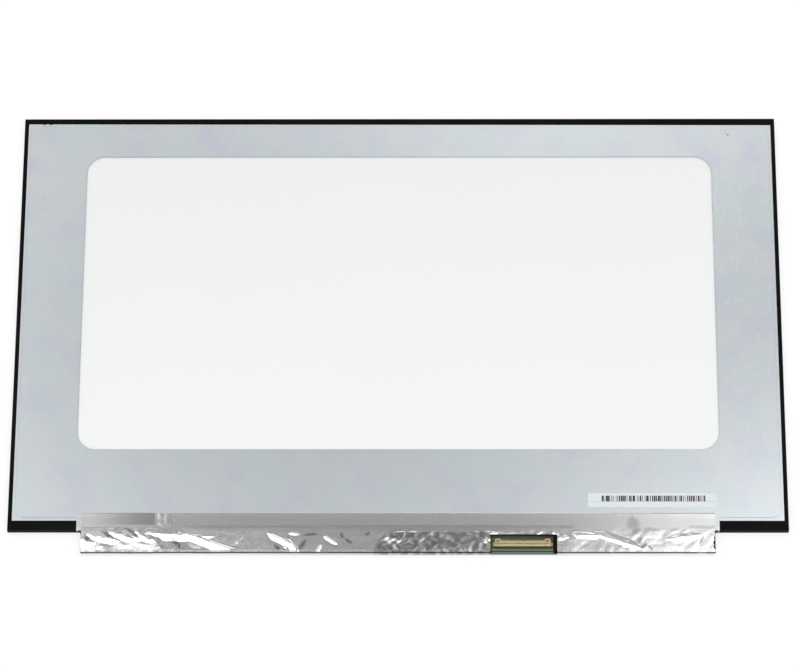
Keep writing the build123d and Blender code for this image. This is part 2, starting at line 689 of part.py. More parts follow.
def lap_profile():
    """The (y, z) points of the foil's inner face where it lies on the chassis and leaves its lower edge."""
    return [
        (FOIL_TOP, Z_FIELD_BACK),
        (CREASE, Z_FIELD_BACK),
        (BOTTOM - FOIL_SLACK, Z_RIM_BACK + COVER_PLAY),
    ]


def board_profile():
    """The points of the foil's inner face over the board, falling from its shoulder to its lower slope."""
    start = Vector(BOARD_TOP - FOIL_SHOULDER, Z_SHOULDER)
    run = Vector(BOARD_BOTTOM + FOIL_SLOPE, Z_FOIL) - start
    points = [start + run * (row / (FOIL_ROWS - 1)) for row in range(FOIL_ROWS)]
    return [(p.X, p.Y) for p in points]


def turn_profile():
    """The points of the foil's inner face down the lower slope, round the board's edge and under it."""
    edge = BOARD_BOTTOM - FOIL_SLACK
    return [
        (BOARD_BOTTOM + FOIL_TURN, (Z_FOIL + Z_BOARD) / 2),
        (edge, Z_BOARD),
        (edge, Z_ARRAY),
        (BOARD_BOTTOM + FOIL_LIP, Z_ARRAY),
    ]


def film_web(side):
    """Small web with a hollow edge that joins the film's end to the panel's lower edge."""
    square = field((0, FILM_WEB), (-FILM_WEB, 0)) - Pos(FILM_WEB, -FILM_WEB) * Circle(FILM_WEB)
    web = square if side > 0 else mirror(square, about=Plane.YZ)
    return Pos(side * (FOIL_SIDE + INSULATION_END), BOTTOM) * web


def insulating_film():
    """Black film under the foil, over the parts on the board, cut closer round the socket than the foil."""
    covered = lap_profile()[-1:] + board_profile() + turn_profile()[:1]
    path = [(y, z - COVER_PLAY) for y, z in covered]
    side = FOIL_SIDE + INSULATION_END
    film = ribbon(path, INSULATION, across(side + FILM_WEB))
    outline = field(across(side), (BOARD_BOTTOM, BOTTOM)) + film_web(-1) + film_web(1)
    cut_x = (CUT_OUT_X[0] + INSULATION_SHOWS_LEFT, CUT_OUT_X[1] - INSULATION_SHOWS_RIGHT)
    outline -= field(cut_x, (BOARD_BOTTOM, CUT_OUT_Y - INSULATION_SHOWS_TOP))
    return film & plate(outline, Z_ARRAY, Z_FIELD_BACK)


def triangles(grid):
    """Triangular faces between neighbouring points of a grid, with the diagonals alternating."""
    faces = []
    for i in range(len(grid) - 1):
        for j in range(len(grid[0]) - 1):
            a, b, c, d = grid[i][j], grid[i + 1][j], grid[i + 1][j + 1], grid[i][j + 1]
            halves = ((a, b, c), (a, c, d)) if (i + j) % 2 else ((a, b, d), (b, c, d))
            faces += [Face(Wire.make_polygon(half)) for half in halves]
    return faces


def edge_faces(inner, outer):
    """Narrow faces that close the edges between two grids of the same size."""
    columns = range(len(inner))
    rows = range(len(inner[0]))
    loop = [(i, 0) for i in columns] + [(columns[-1], j) for j in rows[1:]]
    loop += [(i, rows[-1]) for i in reversed(columns[:-1])] + [(0, j) for j in reversed(rows[:-1])]
    faces = []
    for (i, j), (m, n) in zip(loop, loop[1:]):
        faces.append(Face(Wire.make_polygon((inner[i][j], inner[m][n], outer[m][n], outer[i][j]))))
    return faces


def crinkle():
    """Sideways shift and height of each foil point, none on the flat lap, the edges and the lower turn."""
    draw = Random(FOIL_SEED)
    first = len(lap_profile())
    crinkled = range(first, first + FOIL_ROWS)
    rows = first + FOIL_ROWS + len(turn_profile())
    pitch = 2 * FOIL_SIDE / FOIL_COLUMNS
    shifts = []
    for i in range(FOIL_COLUMNS + 1):
        inside = 0 < i < FOIL_COLUMNS
        column = []
        for j in range(rows):
            shift = FOIL_SHIFT * pitch * draw.uniform(-1, 1)
            height = FOIL_CRINKLE * draw.random()
            column.append((shift if inside else 0, height) if j in crinkled else (0, 0))
        shifts.append(column)
    return shifts


def foil_grid(profile, moves):
    """Points of one face of the foil: its profile repeated along X, with every point's own crinkle."""
    pitch = 2 * FOIL_SIDE / FOIL_COLUMNS
    grid = []
    for i, column in enumerate(moves):
        x = i * pitch - FOIL_SIDE
        grid.append([(x + shift, y, z + height) for (shift, height), (y, z) in zip(column, profile)])
    return grid


def shield_foil():
    """Foil lapped onto the chassis, crinkled over the board and turned under it, open at the socket."""
    profile = lap_profile() + board_profile() + turn_profile()
    moves = crinkle()
    inner = foil_grid(profile, moves)
    outer = foil_grid(offset_profile(profile, -FOIL), moves)
    foil = Solid(Shell(triangles(inner) + triangles(outer) + edge_faces(inner, outer)))
    return foil - slab(CUT_OUT_X, (-TOP - FOIL, CUT_OUT_Y), (0, Z_FIELD_BACK + FOIL_CRINKLE + FOIL))


def bar_label():
    """Paper label on the chassis, above the foil."""
    x = (SIDE - LABEL_SIDE_MARGIN - LABEL_LENGTH, SIDE - LABEL_SIDE_MARGIN)
    y = (FOIL_TOP + LABEL_GAP, FOIL_TOP + LABEL_GAP + LABEL_HEIGHT)
    return plate(field(x, y), Z_FIELD_BACK, LABEL)


def all_parts():
    """Every sub-part by its name. A list is a group of like pieces."""
    single = (
        front_polarizer, colour_filter_glass, array_glass, rear_polarizer, rim_tape, mould_frame,
        upper_prism_sheet, lower_prism_sheet, diffuser_sheet, light_guide_plate, reflector_sheet,
        light_bar_flex, led_packages, rear_chassis, driver_chips, link_flexes, driver_cover_tape,
        circuit_board, power_inductors, ceramic_capacitors, chip_resistors,
        socket_shell, socket_housing, socket_contacts, insulating_film, shield_foil, bar_label,
    )
    parts = {make.__name__: make() for make in single}
    parts.update(edge_tapes())
    parts["timing_controller"] = chip(CONTROLLER_X, CONTROLLER_SIZE, CONTROLLER_HEIGHT)
    parts["power_chip"] = chip(POWER_CHIP_X, POWER_CHIP_SIZE, CHIP_HEIGHT)
    parts["memory_chip"] = chip(MEMORY_X, MEMORY_SIZE, CHIP_HEIGHT)
    parts["light_driver_chip"] = chip(LIGHT_DRIVER_X, LIGHT_DRIVER_SIZE, CHIP_HEIGHT)
    return parts


def main():
    os.makedirs("parts", exist_ok=True)
    for name, part in all_parts().items():
        shape = Compound(part) if isinstance(part, list) else part
        export_step(shape, f"parts/{name}.step")


main()
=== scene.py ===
"""Studio scene of a slim laptop display panel that lies screen down, seen from its back.

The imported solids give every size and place. The classes below give each sub-assembly its finish and add the
fine forms that the solids leave out: the creases of the foil, the bars on the label, solder, pads and specks.
"""

import logging
import math
from dataclasses import dataclass, field
from enum import Enum
from random import Random
from typing import Any, Callable

import bmesh
import bpy
from mathutils import Matrix, Vector, noise


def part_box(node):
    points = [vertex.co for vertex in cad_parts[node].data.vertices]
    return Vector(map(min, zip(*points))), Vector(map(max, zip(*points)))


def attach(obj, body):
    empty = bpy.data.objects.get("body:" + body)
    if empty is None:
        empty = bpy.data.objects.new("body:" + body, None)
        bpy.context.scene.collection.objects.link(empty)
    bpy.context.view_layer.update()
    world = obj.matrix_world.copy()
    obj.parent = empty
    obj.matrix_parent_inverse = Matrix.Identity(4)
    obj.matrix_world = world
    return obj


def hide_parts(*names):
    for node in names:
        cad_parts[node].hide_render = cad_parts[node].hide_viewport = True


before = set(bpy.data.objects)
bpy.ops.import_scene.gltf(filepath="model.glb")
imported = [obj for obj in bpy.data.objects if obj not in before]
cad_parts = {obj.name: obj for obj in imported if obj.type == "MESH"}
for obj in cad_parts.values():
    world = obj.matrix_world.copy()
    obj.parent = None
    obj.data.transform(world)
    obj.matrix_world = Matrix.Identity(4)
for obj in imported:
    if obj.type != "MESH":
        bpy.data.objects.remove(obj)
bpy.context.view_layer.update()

LOG = logging.getLogger("panel")
MM = 0.001
BODY = "root"
# Values of a noise texture between which a tone or a cloud goes from none to full
TONE_SPAN = (0.25, 0.75)
CLOUD_SPAN = (0.42, 0.68)

Node = bpy.types.Node
Socket = bpy.types.NodeSocket
Tree = bpy.types.NodeTree
Colour = tuple[float, float, float]
Point = tuple[float, float, float]
Span = tuple[float, float]
Line = tuple[Span, ...]


class Wiring:
    """Short calls that place and join the nodes of one node tree."""

    def __init__(self, tree: Tree) -> None:
        """Keeps the tree that the nodes go into."""
        self.tree = tree

    def fill(self, socket: Socket, value: Any) -> None:
        """Links a socket to an input, or writes a plain value there.

        Args:
            socket: The input to fill.
            value: Another socket, a number, a colour or a vector.
        """
        if isinstance(value, Socket):
            self.tree.links.new(value, socket)
        elif socket.type == "RGBA" and len(value) == 3:
            socket.default_value = (*value, 1.0)
        else:
            socket.default_value = value

    def add(self, kind: str, settings: dict[str, Any] | None = None, **inputs: Any) -> Node:
        """Places a node.

        Args:
            kind: Blender's name of the node type.
            settings: Properties of the node itself.
            inputs: Values or sockets by input name, with an underscore for each space.
        Returns:
            The new node.
        """
        node = self.tree.nodes.new(kind)
        for name, value in (settings or {}).items():
            setattr(node, name, value)
        for name, value in inputs.items():
            self.fill(node.inputs[name.replace("_", " ")], value)
        return node

    def math(self, operation: str, first: Any, second: Any = 0.0) -> Socket:
        """Places a Math node.

        Args:
            operation: Blender's name of the operation.
            first: First value or socket.
            second: Second value or socket.
        Returns:
            The result's socket.
        """
        node = self.add("ShaderNodeMath", {"operation": operation})
        self.fill(node.inputs[0], first)
        self.fill(node.inputs[1], second)
        return node.outputs[0]

    def spread(self, value: Any, start: Any, end: Any, low: Any = 0.0, high: Any = 1.0) -> Socket:
        """Maps a value from one range onto another and clamps it there.

        Args:
            value: Value or socket.
            start: Value that becomes low.
            end: Value that becomes high.
            low: Result at start.
            high: Result at end.
        Returns:
            The result's socket.
        """
        node = self.add(
            "ShaderNodeMapRange", Value=value, From_Min=start, From_Max=end, To_Min=low, To_Max=high
        )
        return node.outputs["Result"]

    def mix(self, share: Any, first: Any, second: Any) -> Socket:
        """Mixes two colours.

        Args:
            share: Share of the second colour.
            first: First colour or socket.
            second: Second colour or socket.
        Returns:
            The mixed colour's socket.
        """
        node = self.add("ShaderNodeMix", {"data_type": "RGBA"})
        factor, start, end = (node.inputs[i] for i in (0, 6, 7))
        self.fill(factor, share)
        self.fill(start, first)
        self.fill(end, second)
        return node.outputs[2]

    def scaled(self, vector: Any, factor: Any) -> Socket:
        """Scales a vector or a colour.

        Args:
            vector: The vector or its socket.
            factor: The factor or its socket.
        Returns:
            The scaled vector's socket.
        """
        node = self.add("ShaderNodeVectorMath", {"operation": "SCALE"}, Scale=factor)
        self.fill(node.inputs[0], vector)
        return node.outputs[0]

    def place(self, size_mm: Any, stretch: Point = (1.0, 1.0, 1.0)) -> Socket:
        """Gives the object's own coordinates in units of a size.

        Args:
            size_mm: The unit, in millimetres.
            stretch: How far a pattern is drawn out along each axis.
        Returns:
            The vector's socket.
        """
        coordinates = self.add("ShaderNodeTexCoord").outputs["Object"]
        scale = self.math("DIVIDE", 1 / MM, size_mm)
        drawn = self.add("ShaderNodeVectorMath", {"operation": "DIVIDE"})
        self.fill(drawn.inputs[0], coordinates)
        self.fill(drawn.inputs[1], stretch)
        return self.scaled(drawn.outputs[0], scale)

    def effect(self, effect: "Effect", **inputs: Any) -> Node:
        """Places a shared effect in a material.

        Args:
            effect: Which effect.
            inputs: Values or sockets by input name, with an underscore for each space.
        Returns:
            The group node.
        """
        node = self.tree.nodes.new("ShaderNodeGroup")
        node.node_tree = EffectShop.group(effect)
        for name, value in inputs.items():
            self.fill(node.inputs[name.replace("_", " ")], value)
        return node


class Effect(Enum):
    """Shader effects that more than one finish uses."""

    GRAIN = "fine_grain"
    DRIFT = "tone_drift"
    CRYSTALS = "rolled_crystals"
    FRAME_LINE = "line_round_the_window"


class EffectShop:
    """Builds each shared effect once, as a shader node group with named sockets."""

    @staticmethod
    def group(effect: Effect) -> Tree:
        """Gives an effect's node group, built on the first call.

        Args:
            effect: Which effect.
        Returns:
            The node group.
        """
        found = bpy.data.node_groups.get(effect.value)
        if found is not None:
            return found
        tree = bpy.data.node_groups.new(effect.value, "ShaderNodeTree")
        builders: dict[Effect, Callable[[Tree], None]] = {
            Effect.GRAIN: EffectShop.grain,
            Effect.DRIFT: EffectShop.drift,
            Effect.CRYSTALS: EffectShop.crystals,
            Effect.FRAME_LINE: EffectShop.frame_line,
        }
        builders[effect](tree)
        return tree

    @staticmethod
    def ends(
        tree: Tree, inputs: dict[str, float | Colour], outputs: dict[str, str]
    ) -> tuple[Wiring, dict[str, Socket], Node]:
        """Makes a group's sockets and its two end nodes.

        Args:
            tree: The empty group.
            inputs: Default value of each input by name. A tuple makes a colour.
            outputs: Socket type of each output by name.
        Returns:
            The wiring, the inputs by name, and the output node.
        """
        for name, default in inputs.items():
            kind = "NodeSocketColor" if isinstance(default, tuple) else "NodeSocketFloat"
            socket = tree.interface.new_socket(name=name, in_out="INPUT", socket_type=kind)
            socket.default_value = (*default, 1.0) if isinstance(default, tuple) else default
        for name, kind in outputs.items():
            tree.interface.new_socket(name=name, in_out="OUTPUT", socket_type=kind)
        start = tree.nodes.new("NodeGroupInput")
        end = tree.nodes.new("NodeGroupOutput")
        return Wiring(tree), {name: start.outputs[name] for name in inputs}, end

    @staticmethod
    def grain(tree: Tree) -> None:
        """Fine uneven grain: a tone about one half and a height.

        Args:
            tree: The empty group.
        """
        inputs = {"Size": 0.5, "Length": 1.0, "Detail": 3.0}
        outputs = {"Tone": "NodeSocketFloat", "Height": "NodeSocketFloat"}
        wiring, given, end = EffectShop.ends(tree, inputs, outputs)
        stretch = wiring.add("ShaderNodeCombineXYZ", X=given["Length"], Y=1.0, Z=1.0).outputs[0]
        place = wiring.place(given["Size"], stretch)
        texture = wiring.add("ShaderNodeTexNoise", Vector=place, Scale=1.0, Detail=given["Detail"])
        wiring.fill(end.inputs["Tone"], wiring.spread(texture.outputs[0], *TONE_SPAN))
        wiring.fill(end.inputs["Height"], texture.outputs[0])

    @staticmethod
    def drift(tree: Tree) -> None:
        """Slow drift of a colour towards two tints, in separate cloudy patches.

        Args:
            tree: The empty group.
        """
        inputs = {
            "Colour": (0.5, 0.5, 0.5), "First Tint": (0.5, 0.5, 0.5), "Second Tint": (0.5, 0.5, 0.5),
            "Size": 60.0, "Amount": 0.5, "Detail": 1.0,
        }
        wiring, given, end = EffectShop.ends(tree, inputs, {"Colour": "NodeSocketColor"})
        colour = given["Colour"]
        for tint, shift in (("First Tint", 1.0), ("Second Tint", 1.7)):
            place = wiring.place(wiring.math("MULTIPLY", given["Size"], shift))
            texture = wiring.add("ShaderNodeTexNoise", Vector=place, Scale=1.0, Detail=given["Detail"])
            cloud = wiring.spread(texture.outputs[0], *CLOUD_SPAN)
            colour = wiring.mix(wiring.math("MULTIPLY", cloud, given["Amount"]), colour, given[tint])
        wiring.fill(end.inputs["Colour"], colour)

    @staticmethod
    def crystals(tree: Tree) -> None:
        """Small crystals of a rolled or sprayed surface: a tone for each, and a mask of some of them for
        painted glints.

        Args:
            tree: The empty group.
        """
        inputs = {"Size": 0.6, "Share": 0.1}
        outputs = {"Tone": "NodeSocketFloat", "Sparkle": "NodeSocketFloat"}
        wiring, given, end = EffectShop.ends(tree, inputs, outputs)
        cells = wiring.add("ShaderNodeTexVoronoi", Vector=wiring.place(given["Size"]), Scale=1.0)
        parts = wiring.add("ShaderNodeSeparateColor", Color=cells.outputs["Color"])
        limit = wiring.math("SUBTRACT", 1.0, given["Share"])
        wiring.fill(end.inputs["Tone"], parts.outputs[0])
        wiring.fill(end.inputs["Sparkle"], wiring.math("GREATER_THAN", parts.outputs[1], limit))

    @staticmethod
    def frame_line(tree: Tree) -> None:
        """Distance outwards from a rectangle with round corners, in millimetres.

        Args:
            tree: The empty group.
        """
        inputs = {"Half Width": 100.0, "Half Height": 50.0, "Middle": 0.0, "Radius": 8.0}
        wiring, given, end = EffectShop.ends(tree, inputs, {"Distance": "NodeSocketFloat"})
        axes = wiring.add("ShaderNodeSeparateXYZ", Vector=wiring.place(1.0))
        middles = (0.0, given["Middle"])
        halves = (given["Half Width"], given["Half Height"])
        past = []
        for axis, middle, half in zip(axes.outputs, middles, halves):
            reach = wiring.math("ABSOLUTE", wiring.math("SUBTRACT", axis, middle))
            past.append(wiring.math("SUBTRACT", reach, wiring.math("SUBTRACT", half, given["Radius"])))
        squares = [wiring.math("POWER", wiring.math("MAXIMUM", value, 0.0), 2.0) for value in past]
        outside = wiring.math("SQRT", wiring.math("ADD", *squares))
        inside = wiring.math("MINIMUM", wiring.math("MAXIMUM", *past), 0.0)
        reach = wiring.math("ADD", outside, inside)
        wiring.fill(end.inputs["Distance"], wiring.math("SUBTRACT", reach, given["Radius"]))


@dataclass(frozen=True)
class Finish:
    """A surface with a fine grain and a slow drift of tone.

    Attributes:
        name: Plain name of the finish.
        colour: Its main colour, linear.
        roughness: Middle of its roughness.
        metallic: 1 for bare metal, 0 for anything else.
        specular: Strength of the gloss on what isn't metal.
        grain_mm: Size of the grain.
        grain_length: How far the grain is drawn out along the panel.
        grain_contrast: Share by which the grain darkens and lightens the colour.
        roughness_spread: How far the grain moves the roughness.
        bump_mm: Height of the grain.
        drift: Share of the slow drift towards the tints.
        drift_mm: Size of its clouds.
        drift_detail: How finely the clouds break up.
        tints: The two colours that it drifts to, as factors of the main colour.
    """

    name: str
    colour: Colour
    roughness: float
    metallic: float = 0.0
    specular: float = 0.5
    grain_mm: float = 0.5
    grain_length: float = 1.0
    grain_contrast: float = 0.05
    roughness_spread: float = 0.06
    bump_mm: float = 0.002
    drift: float = 0.5
    drift_mm: float = 40.0
    drift_detail: float = 1.0
    tints: tuple[Colour, Colour] = ((0.94, 0.96, 0.98), (1.05, 1.04, 1.0))

    def material(self) -> bpy.types.Material:
        """Gives the finish's material, built on the first call.

        Returns:
            The material.
        """
        name = f"finish_{self.name}"
        found = bpy.data.materials.get(name)
        if found is None:
            found = bpy.data.materials.new(name)
            found.use_nodes = True
            self.compose(Wiring(found.node_tree), found.node_tree.nodes["Principled BSDF"])
        return found

    def compose(self, wiring: Wiring, shader: Node) -> None:
        """Joins the effects to the shader.

        Args:
            wiring: The material's wiring.
            shader: The material's Principled BSDF.
        """
        grain = wiring.effect(Effect.GRAIN, Size=self.grain_mm, Length=self.grain_length)
        wiring.fill(shader.inputs["Metallic"], self.metallic)
        wiring.fill(shader.inputs["Specular IOR Level"], self.specular)
        colour = self.toned(wiring, self.drifted(wiring), grain.outputs["Tone"])
        wiring.fill(shader.inputs["Base Color"], colour)
        wiring.fill(shader.inputs["Roughness"], self.rough(wiring, grain.outputs["Tone"]))
        wiring.fill(shader.inputs["Normal"], self.bumped(wiring, grain.outputs["Height"], self.bump_mm))

    def drifted(self, wiring: Wiring) -> Socket:
        """Gives the main colour with its slow drift.

        Args:
            wiring: The material's wiring.
        Returns:
            The colour's socket.
        """
        first, second = (tuple(c * f for c, f in zip(self.colour, tint)) for tint in self.tints)
        node = wiring.effect(
            Effect.DRIFT, Colour=self.colour, First_Tint=first, Second_Tint=second,
            Size=self.drift_mm, Amount=self.drift, Detail=self.drift_detail,
        )
        return node.outputs["Colour"]

    def toned(self, wiring: Wiring, colour: Any, tone: Socket) -> Socket:
        """Lightens and darkens a colour by a tone.

        Args:
            wiring: The material's wiring.
            colour: The colour or its socket.
            tone: A tone from 0 to 1.
        Returns:
            The new colour's socket.
        """
        factor = wiring.spread(tone, 0.0, 1.0, 1.0 - self.grain_contrast, 1.0 + self.grain_contrast)
        return wiring.scaled(colour, factor)

    def rough(self, wiring: Wiring, tone: Socket) -> Socket:
        """Moves the roughness by a tone.

        Args:
            wiring: The material's wiring.
            tone: A tone from 0 to 1.
        Returns:
            The roughness's socket.
        """
        low, high = self.roughness - self.roughness_spread, self.roughness + self.roughness_spread
        return wiring.spread(tone, 0.0, 1.0, low, high)

    @staticmethod
    def bumped(
        wiring: Wiring, height: Socket, height_mm: float, below: Any = None
    ) -> Socket:
        """Turns a height into a normal.

        Args:
            wiring: The material's wiring.
            height: A height from 0 to 1.
            height_mm: What a height of 1 stands for.
            below: The normal of coarser bumps, if there are any.
        Returns:
            The normal's socket.
        """
        node = wiring.add("ShaderNodeBump", Strength=1.0, Distance=height_mm * MM, Height=height)
        if below is not None:
            wiring.fill(node.inputs["Normal"], below)
        return node.outputs["Normal"]


@dataclass(frozen=True)
class WindowPlace:
    """The rounded window in the chassis, in millimetres.

    Attributes:
        half_width: Half of its width.
        half_height: Half of its height.
        middle: Its middle along Y.
        radius: Radius of its corners.
    """

    half_width: float
    half_height: float
    middle: float
    radius: float

    def distance(self, wiring: Wiring) -> Socket:
        """Gives the distance outwards from the window's edge.

        Args:
            wiring: The material's wiring.
        Returns:
            The distance's socket, in millimetres.
        """
        node = wiring.effect(
            Effect.FRAME_LINE, Half_Width=self.half_width, Half_Height=self.half_height,
            Middle=self.middle, Radius=self.radius,
        )
        return node.outputs["Distance"]


@dataclass(frozen=True)
class RolledSheet(Finish):
    """Satin sheet metal with small crystals, a few painted glints and a painted shade line round its window.

    Attributes:
        window: Place of the window.
        shade_line_mm: Width of the painted shade line outside the window's edge.
        shade_line_tone: Tone of the painted shade line as a factor.
        crystal_mm: Size of the crystals.
        sparkle_share: Share of the crystals that get a painted glint.
        sparkle: Gain of the painted glints in the base colour.
        sparkle_middle: X and Y of the middle of the place where the painted glints show fully.
        sparkle_reach: Distances from there where they start to fade and have faded.
        sparkle_least: Share that is left when they have faded.
    """

    window: WindowPlace = WindowPlace(145.0, 73.0, 15.0, 8.4)
    shade_line_mm: float = 0.55
    shade_line_tone: float = 0.82
    crystal_mm: float = 0.8
    sparkle_share: float = 0.05
    sparkle: float = 0.09
    sparkle_middle: Span = (165.0, 15.0)
    sparkle_reach: Span = (45.0, 100.0)
    sparkle_least: float = 0.3

    def compose(self, wiring: Wiring, shader: Node) -> None:
        """Joins the effects to the shader.

        Args:
            wiring: The material's wiring.
            shader: The material's Principled BSDF.
        """
        super().compose(wiring, shader)
        crystals = wiring.effect(Effect.CRYSTALS, Size=self.crystal_mm, Share=self.sparkle_share)
        colour = self.toned(wiring, self.drifted(wiring), crystals.outputs["Tone"])
        far = wiring.add("ShaderNodeVectorMath", {"operation": "DISTANCE"})
        wiring.fill(far.inputs[0], wiring.place(1.0))
        wiring.fill(far.inputs[1], (*self.sparkle_middle, 0.0))
        share = wiring.spread(far.outputs["Value"], *self.sparkle_reach, 1.0, self.sparkle_least)
        # Painted glints: a few crystals brightened in the base colour, most of all around one place.
        shown = wiring.math("MULTIPLY", crystals.outputs["Sparkle"], share)
        gain = wiring.spread(shown, 0.0, 1.0, 1.0, 1.0 + self.sparkle)
        # Painted shade: the colour darkens in a thin line outside the window's edge.
        edge = wiring.spread(self.window.distance(wiring), 0.0, self.shade_line_mm, self.shade_line_tone, 1.0)
        tone = wiring.math("MULTIPLY", gain, edge)
        wiring.fill(shader.inputs["Base Color"], wiring.scaled(colour, tone))


@dataclass(frozen=True)
class WindowSheet(Finish):
    """Matte white film, with painted shade in a line close to the window's edge where the sheet stands over
    it, and painted light that makes it lighter towards the bottom.

    Attributes:
        window: Place of the window.
        shade_mm: Width of the painted shade line.
        shade_tone: Its tone as a factor.
        fade: Painted light: tones at the window's lower and upper edge, as factors.
    """

    window: WindowPlace = WindowPlace(145.0, 73.0, 15.0, 8.4)
    shade_mm: float = 0.5
    shade_tone: float = 0.9
    fade: Span = (1.03, 0.97)

    def drifted(self, wiring: Wiring) -> Socket:
        """Gives the main colour with its slow drift, the painted shade line and the painted light fade.

        Args:
            wiring: The material's wiring.
        Returns:
            The colour's socket.
        """
        # Painted shade in a thin line inside the window's edge.
        inside = wiring.math("MULTIPLY", self.window.distance(wiring), -1.0)
        shade = wiring.spread(inside, 0.0, self.shade_mm, self.shade_tone, 1.0)
        axes = wiring.add("ShaderNodeSeparateXYZ", Vector=wiring.place(1.0))
        low = self.window.middle - self.window.half_height
        high = self.window.middle + self.window.half_height
        # Painted light: lighter at the window's lower edge, darker at its upper edge.
        fade = wiring.spread(axes.outputs["Y"], low, high, *self.fade)
        return wiring.scaled(super().drifted(wiring), wiring.math("MULTIPLY", shade, fade))


@dataclass(frozen=True)
class FoilSkin(Finish):
    """Thin metal foil, finely creased where it lies loose, with painted shade mixed into its colour.

    Attributes:
        crease_mm: Size of the fine creases.
        crease_height_mm: Height of the fine creases.
        painted_shade_colour: Colour of the painted shade.
        loose: Name of the mesh attribute that is 1 where the foil lies loose.
        painted_shade: Name of the mesh attribute that gives the share of painted shade.
    """

    crease_mm: float = 1.6
    crease_height_mm: float = 0.02
    painted_shade_colour: Colour = (0.4, 0.387, 0.375)
    loose: str = "loose"
    painted_shade: str = "painted_shade"

    def compose(self, wiring: Wiring, shader: Node) -> None:
        """Joins the effects to the shader.

        Args:
            wiring: The material's wiring.
            shader: The material's Principled BSDF.
        """
        super().compose(wiring, shader)
        loose, painted_shade = (
            wiring.add("ShaderNodeAttribute", {"attribute_name": name}).outputs["Fac"]
            for name in (self.loose, self.painted_shade)
        )
        grain = wiring.effect(Effect.GRAIN, Size=self.grain_mm)
        creases = wiring.effect(Effect.GRAIN, Size=self.crease_mm, Length=1.4, Detail=1.0)
        ridge = wiring.math("ABSOLUTE", wiring.math("SUBTRACT", creases.outputs["Height"], 0.5))
        height = wiring.math("MULTIPLY", ridge, loose)
        clean = self.toned(wiring, self.drifted(wiring), grain.outputs["Tone"])
        # Painted shade: the colour is mixed towards a darker grey where the attribute says so.
        wiring.fill(shader.inputs["Base Color"], wiring.mix(painted_shade, clean, self.painted_shade_colour))
        coarse = self.bumped(wiring, height, self.crease_height_mm)
        fine = self.bumped(wiring, grain.outputs["Height"], self.bump_mm, coarse)
        wiring.fill(shader.inputs["Normal"], fine)


@dataclass(frozen=True)
class PaintedBandSheet(Finish):
    """A surface with bands of other colours along its lower edge.

    Attributes:
        bands: Pairs of a distance above the lower edge, in millimetres, and the painted colour from there
            upwards.
            The last one only ends the band before it.
        lower_edge_mm: Y of the lower edge.
    """

    bands: tuple[tuple[float, Colour], ...] = ()
    lower_edge_mm: float = 0.0

    def drifted(self, wiring: Wiring) -> Socket:
        """Gives the main colour with its slow drift and the painted bands.

        Args:
            wiring: The material's wiring.
        Returns:
            The colour's socket.
        """
        axes = wiring.add("ShaderNodeSeparateXYZ", Vector=wiring.place(1.0))
        above = wiring.math("SUBTRACT", axes.outputs["Y"], self.lower_edge_mm)
        colour: Any = super().drifted(wiring)
        for start, end, tone in self.spans():
            inside = wiring.math(
                "MULTIPLY",
                wiring.math("GREATER_THAN", above, start),
                wiring.math("LESS_THAN", above, end),
            )
            colour = wiring.mix(inside, colour, tone)
        return colour

    def spans(self) -> list[tuple[float, float, Colour]]:
        """Gives the start, end and colour of each band."""
        return [(low, high, tone) for (low, tone), (high, _) in zip(self.bands, self.bands[1:])]


@dataclass(frozen=True)
class BoardMask(PaintedBandSheet):
    """Solder mask over copper, with faint tracks.

    Attributes:
        track_mm: Pitch of the tracks.
        track_tone: Tone of the tracks as a factor.
        track_edge: Values of the wave between which a track's edge lies.
    """

    track_mm: float = 0.9
    track_tone: float = 1.25
    track_edge: Span = (0.75, 0.85)

    def drifted(self, wiring: Wiring) -> Socket:
        """Gives the banded colour with the tracks.

        Args:
            wiring: The material's wiring.
        Returns:
            The colour's socket.
        """
        waves = wiring.add(
            "ShaderNodeTexWave", {"bands_direction": "X"}, Vector=wiring.place(self.track_mm),
            Scale=0.5, Distortion=6.0, Detail=1.0, Detail_Scale=0.3,
        )
        track = wiring.spread(waves.outputs[1], *self.track_edge, 1.0, self.track_tone)
        return wiring.scaled(super().drifted(wiring), track)


@dataclass(frozen=True)
class ClearPane(Finish):
    """Clear thin glass or acrylic.

    Attributes:
        ior: Refractive index.
    """

    ior: float = 1.5

    def compose(self, wiring: Wiring, shader: Node) -> None:
        """Joins the effects to the shader.

        Args:
            wiring: The material's wiring.
            shader: The material's Principled BSDF.
        """
        super().compose(wiring, shader)
        wiring.fill(shader.inputs["Transmission Weight"], 1.0)
        wiring.fill(shader.inputs["IOR"], self.ior)


class Panel:
    """Places on the panel that several sub-assemblies share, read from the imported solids, in millimetres."""

    WINDOW_SIDE_MARGIN = 30.0
    WINDOW_TOP_MARGIN = 19.7
    WINDOW_BOTTOM_MARGIN = 38.95
    WINDOW_RADIUS = 8.4

    def __init__(self) -> None:
        """Reads the outline, the board, the foil, the socket and the label."""
        high = self.box("top_edge_tape")[1]
        self.side = high.x
        self.top = high.y
        self.bottom = self.box("left_corner_tape")[0].y
        self.back = self.box("rear_chassis")[1].z
        self.board_low, self.board_high = self.box("circuit_board")
        self.foil_low, self.foil_high = self.box("shield_foil")
        self.shell_low, self.shell_high = self.box("socket_shell")
        self.label_low, self.label_high = self.box("bar_label")

    @staticmethod
    def box(node: str) -> tuple[Vector, Vector]:
        """Gives a node's lowest and highest corners in millimetres."""
        low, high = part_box(node)
        return low / MM, high / MM

    def window(self) -> WindowPlace:
        """Gives the window in the chassis from its margins to the panel's outline.

        Returns:
            The window's place.
        """
        low = self.bottom + self.WINDOW_BOTTOM_MARGIN
        high = self.top - self.WINDOW_TOP_MARGIN
        half_width = self.side - self.WINDOW_SIDE_MARGIN
        return WindowPlace(half_width, (high - low) / 2, (high + low) / 2, self.WINDOW_RADIUS)


